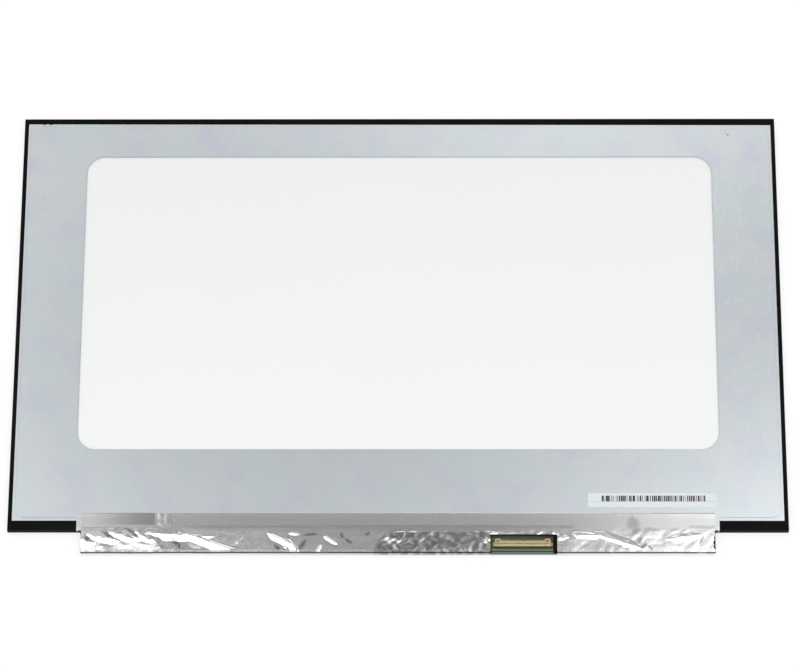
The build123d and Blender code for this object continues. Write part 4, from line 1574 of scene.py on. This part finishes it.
    def painted_shade(self, along: float, drop: float) -> float:
        """Gives how much painted shade the foil has at a place, from 0 to 1.

        Args:
            along: Place along the foil.
            drop: Place below the crease.
        Returns:
            The share of the painted shade colour.
        """
        # Painted shade: a line along the crease, patches and a rim on the bulge, darker stretches and marks.
        line = self.between(self.crease_shade, drop) * self.between(self.crease_shade_reach, along)
        spot = self.lap_mark_share * max(mark.share(along, drop) for mark in self.lap_marks)
        if drop < self.crease_shade[0][0]:
            return max(spot, self.between(self.flap_shade, along))
        depth = self.bulge(along, drop) / self.bulge_edge
        cloud = self.bulge_shade + self.bulge_shade_spread * self.bulge_cloud.value(along, drop)
        cloud = min(1.0, max(0.0, depth)) * min(1.0, max(0.0, cloud))
        rim = max(0.0, 1.0 - abs(depth)) * min(1.0, max(0.0, -along / self.bulge_rim_shade))
        sheet = self.between(self.sheet_shade, along)
        return max(line, cloud, rim, sheet, spot, *(mark.share(along, drop) for mark in self.marks))

    def torn(self, along: float, drop: float) -> float:
        """Gives how far a point near the foil's right end is moved in by the torn edge.

        Args:
            along: Place along the foil.
            drop: Place below the crease.
        Returns:
            The distance, in millimetres.
        """
        share = max(0.0, 1.0 - (self.panel.foil_high.x - along) / self.torn_reach)
        return share * self.between(self.torn_drop, drop)

    def waves(self, along: float, drop: float) -> float:
        """Gives the slight unevenness of the stuck part, with one cloudy pillow in it.

        Args:
            along: Place along the foil.
            drop: Place below the crease.
        Returns:
            The height there, in millimetres.
        """
        aside = (along - self.pillow_along) / self.pillow_reach
        pillow = max(0.0, 1.0 - aside ** self.pillow_power)
        cloud = 0.5 + 0.5 * self.pillow_cloud.value(along, drop)
        cloud *= min(1.0, -drop / self.pillow_fade)
        wave = self.unevenness * self.wave_cloud.value(along, drop)
        return wave + self.pillow_height * pillow * cloud

    def turn_rows(self, along: float, level: float, draw: Random) -> list[Point]:
        """Gives the points of one column from the lower slope round the board's edge and under it.

        Args:
            along: Place along the foil.
            level: Z at the column's last row above.
            draw: Source of the small unevenness.
        Returns:
            The points, in millimetres.
        """
        board, edge = self.panel.board_low, self.panel.foil_low.y + self.thickness
        slack = self.turn_slack * abs(noise.noise(Vector((along / self.turn_patch, *self.turn_line))))
        slack += self.turn_jitter * draw.random()
        low = self.panel.foil_low.z + self.thickness
        mid = self.panel.board_high.z
        bend = noise.noise(Vector((along / self.bend_patch, *self.bend_line)))
        bend = self.turn_bend + self.turn_bend_spread * bend
        under = low - self.thickness
        down_edge = (mid + self.edge_above, mid - self.edge_below, (mid + low) / 2, low + self.edge_foot)
        points = [
            (along, board.y + inset, level - fall - halves * bend) for inset, fall, halves in self.slope
        ]
        points += [(along, edge + slack, z) for z in down_edge]
        points += [
            (along, y, under)
            for y in (edge + slack + self.edge_turn, board.y + self.lip / 2, board.y + self.lip)
        ]
        return points

    def mesh(self) -> bpy.types.Mesh:
        """Draws the foil as a closed thin sheet, with attributes that say where it is loose and how much
        painted shade it has.

        Returns:
            The mesh.
        """
        draw = Random(self.seed)
        crease = self.crease()
        drops = self.drops()
        shape = bmesh.new()
        loose = shape.verts.layers.float.new("loose")
        painted_shade = shape.verts.layers.float.new("painted_shade")
        grid = []
        for x in self.columns():
            points = [(x - self.torn(x, drop), crease - drop, self.height(x, drop)) for drop in drops]
            points += self.turn_rows(x, points[-1][2], draw)
            column = [shape.verts.new(point) for point in points]
            for vertex, point in zip(column, points):
                drop = crease - point[1]
                vertex[loose] = min(1.0, max(0.0, (drop - self.fine_start) / self.fine_run))
                vertex[painted_shade] = self.painted_shade(x, drop)
            grid.append(column)
        self.fill(shape, grid)
        bmesh.ops.recalc_face_normals(shape, faces=shape.faces)
        bmesh.ops.solidify(shape, geom=shape.faces[:], thickness=self.thickness)
        bmesh.ops.recalc_face_normals(shape, faces=shape.faces)
        for edge in shape.edges:
            edge.smooth = edge.calc_face_angle(0.0) < self.sharp_angle
        return Workshop.mesh("creased_foil", shape, smooth=True)

    def fill(self, shape: bmesh.types.BMesh, grid: list[list[bmesh.types.BMVert]]) -> None:
        """Spans faces between the grid's points, except in the cut-out.

        Args:
            shape: The shape that has the points.
            grid: The points by column and row.
        """
        left, right, upper = self.cut_out()
        for column, following in zip(grid, grid[1:]):
            for a, b, c, d in zip(column, following, following[1:], column[1:]):
                middle = (a.co + b.co + c.co + d.co) / 4
                if left < middle.x < right and middle.y < upper:
                    continue
                shape.faces.new((a, d, c, b))
        bare = [vertex for vertex in shape.verts if not vertex.link_faces]
        bmesh.ops.delete(shape, geom=bare, context="VERTS")


@dataclass
class CircuitBoard:
    """The board below the panel, its parts and the strips that link it to the glass.

    Attributes:
        panel: Shared places.
        pad_count: Test pads along the board's screen side.
        pad_pitch: Their pitch, in millimetres.
        pad_radius: Their radius.
        pad_taper: Their radius on the outer face, as a share.
        pad_height: Their thickness.
        pad_drop: How far their line lies below the board's upper edge.
    """

    panel: Panel
    pad_count: int = 44
    pad_pitch: float = 6.1
    pad_radius: float = 0.55
    pad_taper: float = 0.92
    pad_height: float = 0.02
    pad_drop: float = 4.4

    def build(self) -> None:
        """Dresses the board and its parts and adds the test pads."""
        mask = BoardMask(
            "solder_mask", (0.05, 0.054, 0.022), 0.36, grain_mm=0.5, grain_contrast=0.1, bump_mm=0.004,
            drift=0.7, drift_mm=9.0, tints=((0.6, 0.75, 0.7), (1.3, 1.2, 0.9)),
            lower_edge_mm=self.panel.board_low.y,
            # Painted light and shade along the board's lower edge: a teal strip, a dark line of painted shade
            # and a band of painted light above it.
            bands=(
                (-0.5, (0.09, 0.138, 0.108)),
                (1.05, (0.008, 0.02, 0.012)),
                (1.6, (0.125, 0.17, 0.105)),
                (2.45, (0.05, 0.054, 0.022)),
            ),
        )
        case = Finish(
            "moulded_case", (0.022, 0.022, 0.024), 0.5, grain_mm=0.12, grain_contrast=0.2, bump_mm=0.004
        )
        coil = Finish(
            "ferrite_case", (0.07, 0.07, 0.072), 0.62, grain_mm=0.15, grain_contrast=0.2, bump_mm=0.006
        )
        clay = Finish("tan_ceramic", (0.42, 0.31, 0.19), 0.42, grain_mm=0.2, grain_contrast=0.08)
        amber = Finish(
            "amber_film", (0.36, 0.19, 0.045), 0.3, grain_mm=0.5, grain_length=8.0, grain_contrast=0.12,
            drift_mm=8.0,
        )
        Workshop.dress(mask, "circuit_board")
        Workshop.dress(case, "timing_controller", "power_chip", "memory_chip", "light_driver_chip")
        Workshop.dress(case, "chip_resistors")
        Workshop.dress(coil, "power_inductors")
        Workshop.dress(clay, "ceramic_capacitors")
        Workshop.dress(amber, "link_flexes", "light_bar_flex")
        Workshop.piece("test_pads", self.pads(), "contact_metal")

    def pads(self) -> bpy.types.Mesh:
        """Grows the row of test pads on the board's screen side.

        Returns:
            The mesh.
        """
        gold = SignalSocket.contact_finish()
        first = Vector((
            -self.pad_pitch * (self.pad_count - 1) / 2,
            self.panel.board_high.y - self.pad_drop,
            self.panel.board_low.z - self.pad_height,
        ))
        return Workshop.grown("test_pads", RepeatTree.mounds(), {
            "Count": self.pad_count, "First": first * MM, "Pitch": self.pad_pitch * MM,
            "Top Radius": self.pad_radius * MM, "Bottom Radius": self.pad_radius * self.pad_taper * MM,
            "Height": self.pad_height * MM, "Stretch": 1.0, "Material": gold.material(),
        })


@dataclass
class SignalSocket:
    """The shielded socket on the board, with a solder joint behind each contact.

    Attributes:
        panel: Shared places.
        contact_pitch: Pitch of the contacts, in millimetres.
        contact_count: How many contacts.
        joint_radius: Radius of a solder joint.
        joint_taper: Its radius at the top, as a share.
        joint_height: Its height.
        joint_reach: How far the joints' line lies behind the shell.
    """

    panel: Panel
    contact_pitch: float = 0.5
    contact_count: int = 40
    joint_radius: float = 0.19
    joint_taper: float = 0.45
    joint_height: float = 0.16
    joint_reach: float = 0.45

    def build(self) -> None:
        """Dresses the socket and adds the solder joints."""
        # Painted shade at the shell's front lip and back edge, painted light on two ridges, and a darker
        # painted groove between them.
        painted_shadow = (0.22, 0.19, 0.09)
        gold = PaintedBandSheet(
            "gold_toned_sheet", (0.59, 0.505, 0.3), 0.3, metallic=1.0, grain_mm=0.3, grain_length=6.0,
            grain_contrast=0.07, bump_mm=0.002, drift=0.8, drift_mm=5.0,
            tints=((0.9, 0.92, 0.84), (1.12, 1.06, 1.0)),
            lower_edge_mm=self.panel.shell_low.y,
            bands=(
                (-0.1, painted_shadow), (0.3, (0.62, 0.55, 0.33)), (1.2, (0.4, 0.325, 0.16)), (1.85, (0.59, 0.5, 0.3)),
                (2.8, (0.3, 0.25, 0.13)), (3.1, painted_shadow),
            ),
        )
        # Painted shade: the housing's colour is darkened to the shadow under the shell's front.
        shaded_housing = Finish(
            "housing_painted_shade", (0.06, 0.062, 0.026), 0.5, grain_mm=0.2, grain_contrast=0.1, drift_mm=4.0
        )
        Workshop.dress(gold, "socket_shell")
        Workshop.dress(shaded_housing, "socket_housing")
        Workshop.dress(self.contact_finish(), "socket_contacts")
        Workshop.piece("solder_joints", self.joints(), "contact_metal")

    @staticmethod
    def contact_finish() -> Finish:
        """Gives the finish of the contacts and pads."""
        return Finish(
            "gold_flash", (0.78, 0.58, 0.26), 0.26, metallic=1.0, grain_mm=0.15, grain_contrast=0.08,
            bump_mm=0.002,
        )

    def joints(self) -> bpy.types.Mesh:
        """Grows the row of solder joints behind the contacts.

        Returns:
            The mesh.
        """
        tin = Finish("solder", (0.52, 0.52, 0.5), 0.28, metallic=1.0, grain_mm=0.1, grain_contrast=0.15)
        middle = (self.panel.shell_low.x + self.panel.shell_high.x) / 2
        back = self.panel.box("socket_contacts")[1].y
        first = Vector((
            middle - self.contact_pitch * (self.contact_count - 1) / 2,
            back - self.joint_reach / 2,
            self.panel.board_high.z,
        ))
        return Workshop.grown("solder_joints", RepeatTree.mounds(), {
            "Count": self.contact_count, "First": first * MM, "Pitch": self.contact_pitch * MM,
            "Top Radius": self.joint_radius * self.joint_taper * MM, "Bottom Radius": self.joint_radius * MM,
            "Height": self.joint_height * MM, "Stretch": 2.0, "Material": tin.material(),
        })


@dataclass
class BarLabel:
    """The paper label, with a strip of plain uneven bars and a thin grey line.

    Attributes:
        panel: Shared places.
        bar_left: Gap between the label's left end and the bars, in millimetres.
        bar_right: Gap at the right.
        bar_top: Gap between the label's upper edge and the bars.
        bar_height: Height of the bars.
        bar_count: How many bars.
        narrow: Width of the narrowest bar.
        wide: Width of the widest bar.
        shift: How far a bar may stand off its even place, as a share of the pitch.
        ink: Thickness of the print.
        thin_line_width: Width of the thin grey line.
        seed: Seed of the uneven widths.
    """

    panel: Panel
    bar_left: float = 5.95
    bar_right: float = 5.0
    bar_top: float = 1.16
    bar_height: float = 2.72
    bar_count: int = 54
    narrow: float = 0.24
    wide: float = 0.86
    shift: float = 0.22
    ink: float = 0.008
    thin_line_width: float = 0.12
    seed: int = 12

    def build(self) -> None:
        """Dresses the label and lays the bars and the thin grey line."""
        paper = Finish(
            "label_paper", (0.675, 0.715, 0.725), 0.5, specular=0.4, grain_mm=0.25, grain_contrast=0.015,
            drift=0.3, drift_mm=30.0,
        )
        Workshop.dress(paper, "bar_label")
        Workshop.piece("label_bars", self.bars(), "label_paper")
        thin_line_finish = Finish("grey_line", (0.36, 0.37, 0.38), 0.6, grain_mm=0.3, grain_contrast=0.15)
        Workshop.piece("label_thin_line", self.thin_line(), "label_paper", thin_line_finish)

    def bars(self) -> bpy.types.Mesh:
        """Grows the strip of bars.

        Returns:
            The mesh.
        """
        black = Finish("black_ink", (0.03, 0.032, 0.035), 0.55, grain_mm=0.2, grain_contrast=0.25)
        length = self.panel.label_high.x - self.panel.label_low.x - self.bar_left - self.bar_right
        pitch = length / self.bar_count
        first = Vector((
            self.panel.label_low.x + self.bar_left + pitch / 2,
            self.panel.label_high.y - self.bar_top - self.bar_height / 2,
            self.panel.label_high.z,
        ))
        return Workshop.grown("label_bars", RepeatTree.bars(), {
            "Count": self.bar_count, "First": first * MM, "Pitch": pitch * MM, "Height": self.bar_height * MM,
            "Depth": self.ink * MM, "Narrow": self.narrow * MM, "Wide": self.wide * MM,
            "Shift": self.shift * pitch * MM, "Seed": self.seed, "Material": black.material(),
        })

    def thin_line(self) -> bpy.types.Mesh:
        """Draws the thin grey line under the bars, as long as the label.

        Returns:
            The mesh.
        """
        low, high = self.panel.label_low, self.panel.label_high
        y = high.y - self.bar_top - self.bar_height - self.thin_line_width
        shape = bmesh.new()
        made = bmesh.ops.create_cube(shape, size=1.0)["verts"]
        bmesh.ops.scale(shape, vec=(high.x - low.x - self.thin_line_width, self.thin_line_width, self.ink), verts=made)
        bmesh.ops.translate(shape, vec=((low.x + high.x) / 2, y, high.z), verts=made)
        return Workshop.mesh("label_thin_line", shape)


@dataclass
class DisplayCell:
    """The screen: two panes, their polarizing films and the bare driver chips.

    Attributes:
        glass_index: Refractive index of the panes.
    """

    glass_index: float = 1.5

    def build(self) -> None:
        """Dresses the panes, films and chips."""
        matte = Finish(
            "antiglare_film", (0.018, 0.018, 0.021), 0.36, specular=0.45, grain_mm=0.3, grain_contrast=0.12,
            roughness_spread=0.05, bump_mm=0.003, drift=0.3, drift_mm=80.0,
        )
        pane = ClearPane(
            "cell_pane", (0.93, 0.96, 0.95), 0.04, grain_contrast=0.005, roughness_spread=0.01,
            bump_mm=0.0002, ior=self.glass_index,
        )
        bare = Finish("bare_silicon", (0.1, 0.1, 0.115), 0.2, specular=0.8, grain_mm=0.2, grain_contrast=0.1)
        Workshop.dress(matte, "front_polarizer", "rear_polarizer")
        Workshop.dress(pane, "colour_filter_glass", "array_glass")
        Workshop.dress(bare, "driver_chips")


@dataclass
class BackLight:
    """The light guide, its sheets, the lamps and the moulded frame that holds them.

    Attributes:
        acrylic_index: Refractive index of the light guide.
    """

    acrylic_index: float = 1.49

    def build(self) -> None:
        """Dresses the hidden pieces of the back light."""
        milky = Finish(
            "milky_sheet", (0.8, 0.82, 0.84), 0.4, grain_mm=0.4, grain_length=4.0, grain_contrast=0.02
        )
        acrylic = ClearPane(
            "clear_acrylic", (0.92, 0.95, 0.95), 0.08, grain_contrast=0.005, bump_mm=0.0005,
            ior=self.acrylic_index,
        )
        moulding = Finish("white_moulding", (0.78, 0.78, 0.77), 0.45, grain_mm=0.4, grain_contrast=0.03)
        lamp = Finish("lamp_body", (0.82, 0.8, 0.6), 0.4, grain_mm=0.2, grain_contrast=0.04)
        Workshop.dress(milky, "upper_prism_sheet", "lower_prism_sheet", "diffuser_sheet")
        Workshop.dress(acrylic, "light_guide_plate")
        Workshop.dress(moulding, "mould_frame")
        Workshop.dress(lamp, "led_packages")


class StageTone(Enum):
    """Tones of the cards that hang round the set, as the share of light that they give back."""

    SOFT = 0.55
    DEEP = 0.22
    DARK = 0.1


@dataclass(frozen=True)
class Card:
    """A flat card that only shiny surfaces see.

    Attributes:
        name: Its name.
        tone: How much light it gives back.
        low: Its lowest corner, in metres.
        high: The corner across from it. One of the three sides is zero.
    """

    name: str
    tone: StageTone
    low: Point
    high: Point

    def material(self) -> bpy.types.Material:
        """Makes the card's plain matte paint.

        Returns:
            The material.
        """
        paint = bpy.data.materials.new(self.name)
        paint.use_nodes = True
        shader = paint.node_tree.nodes["Principled BSDF"]
        shader.inputs["Base Color"].default_value = (*(self.tone.value,) * 3, 1.0)
        shader.inputs["Specular IOR Level"].default_value = 0.0
        shader.inputs["Roughness"].default_value = 1.0
        return paint


@dataclass(frozen=True)
class SoftBox:
    """A level soft box that shines straight down and that the camera doesn't see.

    Attributes:
        name: Its name.
        size: Its sides along X and Y, in metres.
        place: Its middle.
        light: Its brightness.
    """

    name: str
    size: Span
    place: Point
    light: float

    def hang(self) -> None:
        """Adds the soft box to the scene."""
        data = bpy.data.lights.new(self.name, "AREA")
        data.shape = "RECTANGLE"
        data.size, data.size_y = self.size
        data.energy = self.light * math.pi * data.size * data.size_y
        made = bpy.data.objects.new(self.name, data)
        made.location = self.place
        made.visible_camera = False
        bpy.context.scene.collection.objects.link(made)


@dataclass
class Studio:
    """The floor, the light and the camera.

    Attributes:
        focal_px: Focal length, in pixels of the picture's width.
        width_px: The picture's width.
        tilt_deg: How far the camera leans back from straight down.
        yaw_deg: Its turn to the side.
        roll_deg: Its turn about its own axis.
        distance_mm: Its distance from the panel.
        offset_mm: How far the panel's middle lies right of and above the picture's middle.
        middle_mm: Y of the panel's outline's middle.
        light: Strength of the white surroundings.
        floor_size: Side of the floor, in metres.
        floor_drop: Gap between the floor and the screen.
        floor_tone: Share of light that the floor gives back.
        floor_glow: Share of the floor's look that is plain white.
        floor_white: Brightness of that white.
        floor_clear: How near to a surface the floor is clear to it, in metres.
        boxes: The soft boxes overhead.
        cards: The cards that hang round the set.
    """

    focal_px: float = 4016.4
    width_px: float = 800.0
    tilt_deg: float = 23.1313
    yaw_deg: float = -0.5555
    roll_deg: float = 0.0147
    distance_mm: float = 1843.78
    offset_mm: Span = (-0.639, 5.574)
    middle_mm: float = 5.45
    light: float = 0.98
    floor_size: float = 40.0
    floor_drop: float = 0.0002
    floor_tone: float = 0.93
    floor_glow: float = 0.72
    floor_white: float = 1.03
    floor_clear: float = 0.0008
    boxes: tuple[SoftBox, ...] = (
        SoftBox("overhead_box", (1.1, 0.9), (0.0, -0.1, 1.95), 1.4),
        SoftBox("side_box", (0.5, 0.38), (0.56, 0.21, 1.4), 1.22),
        SoftBox("upper_box", (0.36, 0.12), (0.17, 0.89, 1.45), 1.7),
    )
    cards: tuple[Card, ...] = (
        Card("near_card", StageTone.DEEP, (-0.27, 0.2, 1.4), (0.18, 0.45, 1.4)),
        Card("middle_card", StageTone.DEEP, (-0.37, 0.45, 1.4), (0.16, 0.56, 1.4)),
        Card("upper_card", StageTone.DEEP, (-0.38, 0.56, 1.4), (0.1, 0.68, 1.4)),
        Card("right_card", StageTone.DEEP, (0.1, 0.48, 1.4), (0.62, 0.54, 1.4)),
        Card("side_card", StageTone.DARK, (0.17, 0.54, 1.4), (0.75, 0.75, 1.4)),
        Card("far_card", StageTone.DARK, (-0.7, 0.98, 1.4), (0.7, 2.2, 1.4)),
        Card("left_card", StageTone.DARK, (-1.2, 0.1, 1.4), (-0.8, 0.9, 1.4)),
        Card("camera_card", StageTone.DARK, (-0.6, -1.5, 1.75), (0.6, -0.78, 1.75)),
        Card("front_card", StageTone.DARK, (-0.9, -1.5, 0.05), (0.9, -1.5, 1.75)),
        Card("back_card", StageTone.SOFT, (-1.7, 2.4, 0.05), (1.7, 2.4, 1.6)),
        Card("left_wall", StageTone.SOFT, (-1.7, -1.5, 0.05), (-1.7, 2.4, 1.3)),
        Card("right_wall", StageTone.SOFT, (1.7, -1.5, 0.05), (1.7, 2.4, 1.3)),
    )

    def build(self) -> None:
        """Sets up the surroundings, the floor, the soft boxes, the cards and the camera."""
        scene = bpy.context.scene
        scene.view_settings.view_transform = "Standard"
        self.surroundings()
        self.floor()
        for box in self.boxes:
            box.hang()
        for card in self.cards:
            hung = self.sheet(card.name, card.low, card.high, card.material())
            hung.visible_camera = False
            hung.visible_diffuse = False
            hung.visible_shadow = False
        scene.camera = self.camera()

    def surroundings(self) -> None:
        """Makes the world an even white."""
        world = bpy.data.worlds.new("white_surroundings")
        world.use_nodes = True
        back = world.node_tree.nodes["Background"]
        back.inputs["Color"].default_value = (1.0, 1.0, 1.0, 1.0)
        back.inputs["Strength"].default_value = self.light
        bpy.context.scene.world = world

    def floor(self) -> None:
        """Lays a white floor that keeps a soft shadow and lets light through to the screen from below."""
        material = bpy.data.materials.new("stage_floor")
        material.use_nodes = True
        tree = material.node_tree
        wiring = Wiring(tree)
        path = wiring.add("ShaderNodeLightPath").outputs
        seen = wiring.math("MAXIMUM", path["Is Camera Ray"], path["Is Transmission Ray"])
        paint = wiring.add("ShaderNodeBsdfDiffuse", Color=(self.floor_tone,) * 3)
        glow = wiring.add("ShaderNodeEmission", Color=(1.0, 1.0, 1.0), Strength=self.floor_white)
        lit = wiring.add("ShaderNodeMixShader")
        wiring.fill(lit.inputs[0], wiring.math("MULTIPLY", seen, self.floor_glow))
        wiring.fill(lit.inputs[1], paint.outputs[0])
        wiring.fill(lit.inputs[2], glow.outputs[0])
        clear = wiring.add("ShaderNodeBsdfTransparent")
        either = wiring.add("ShaderNodeMixShader")
        below = wiring.add("ShaderNodeNewGeometry").outputs["Backfacing"]
        under = wiring.math("LESS_THAN", path["Ray Length"], self.floor_clear)
        wiring.fill(either.inputs[0], wiring.math("MAXIMUM", below, under))
        wiring.fill(either.inputs[1], lit.outputs[0])
        wiring.fill(either.inputs[2], clear.outputs[0])
        wiring.fill(tree.nodes["Material Output"].inputs["Surface"], either.outputs[0])
        half = self.floor_size / 2
        self.sheet("stage_floor", (-half, -half, -self.floor_drop), (half, half, -self.floor_drop), material)

    @staticmethod
    def sheet(name: str, low: Point, high: Point, material: bpy.types.Material) -> bpy.types.Object:
        """Makes a level or upright rectangle that isn't part of the panel.

        Args:
            name: Name of the object.
            low: Its lowest corner, in metres.
            high: The corner across from it.
            material: Its material.
        Returns:
            The object.
        """
        upright = high[2] > low[2]
        second = (high[0], high[1] if upright else low[1], low[2])
        fourth = (low[0], low[1] if upright else high[1], high[2])
        corners = [low, second, high, fourth]
        mesh = bpy.data.meshes.new(name)
        mesh.from_pydata(corners, [], [(0, 1, 2, 3)])
        mesh.materials.append(material)
        made = bpy.data.objects.new(name, mesh)
        bpy.context.scene.collection.objects.link(made)
        return made

    def camera(self) -> bpy.types.Object:
        """Places the camera at the picture's viewing angle.

        Returns:
            The camera.
        """
        data = bpy.data.cameras.new("camera")
        data.sensor_fit = "HORIZONTAL"
        data.lens = self.focal_px / self.width_px * data.sensor_width
        data.clip_end = 100.0
        turn = (
            Matrix.Rotation(math.radians(self.roll_deg), 3, "Z")
            @ Matrix.Rotation(math.radians(self.yaw_deg), 3, "Y")
            @ Matrix.Rotation(-math.radians(self.tilt_deg), 3, "X")
        ).transposed()
        right, up = self.offset_mm
        place = turn @ Vector((-right, -up, self.distance_mm)) + Vector((0, self.middle_mm, 0))
        made = bpy.data.objects.new("camera", data)
        made.matrix_world = Matrix.Translation(place * MM) @ turn.to_4x4()
        bpy.context.scene.collection.objects.link(made)
        return made


def main() -> None:
    """Builds the panel's sub-assemblies in order, then the studio."""
    logging.basicConfig(level=logging.INFO, format="%(name)s: %(message)s")
    panel = Panel()
    for part in (
        BackCover(panel), EdgeTapes(panel), ShieldFoil(panel), CircuitBoard(panel), SignalSocket(panel),
        BarLabel(panel), DisplayCell(), BackLight(),
    ):
        part.build()
        LOG.info("finished %s", type(part).__name__)
    Studio().build()


if __name__ == "__main__":
    main()
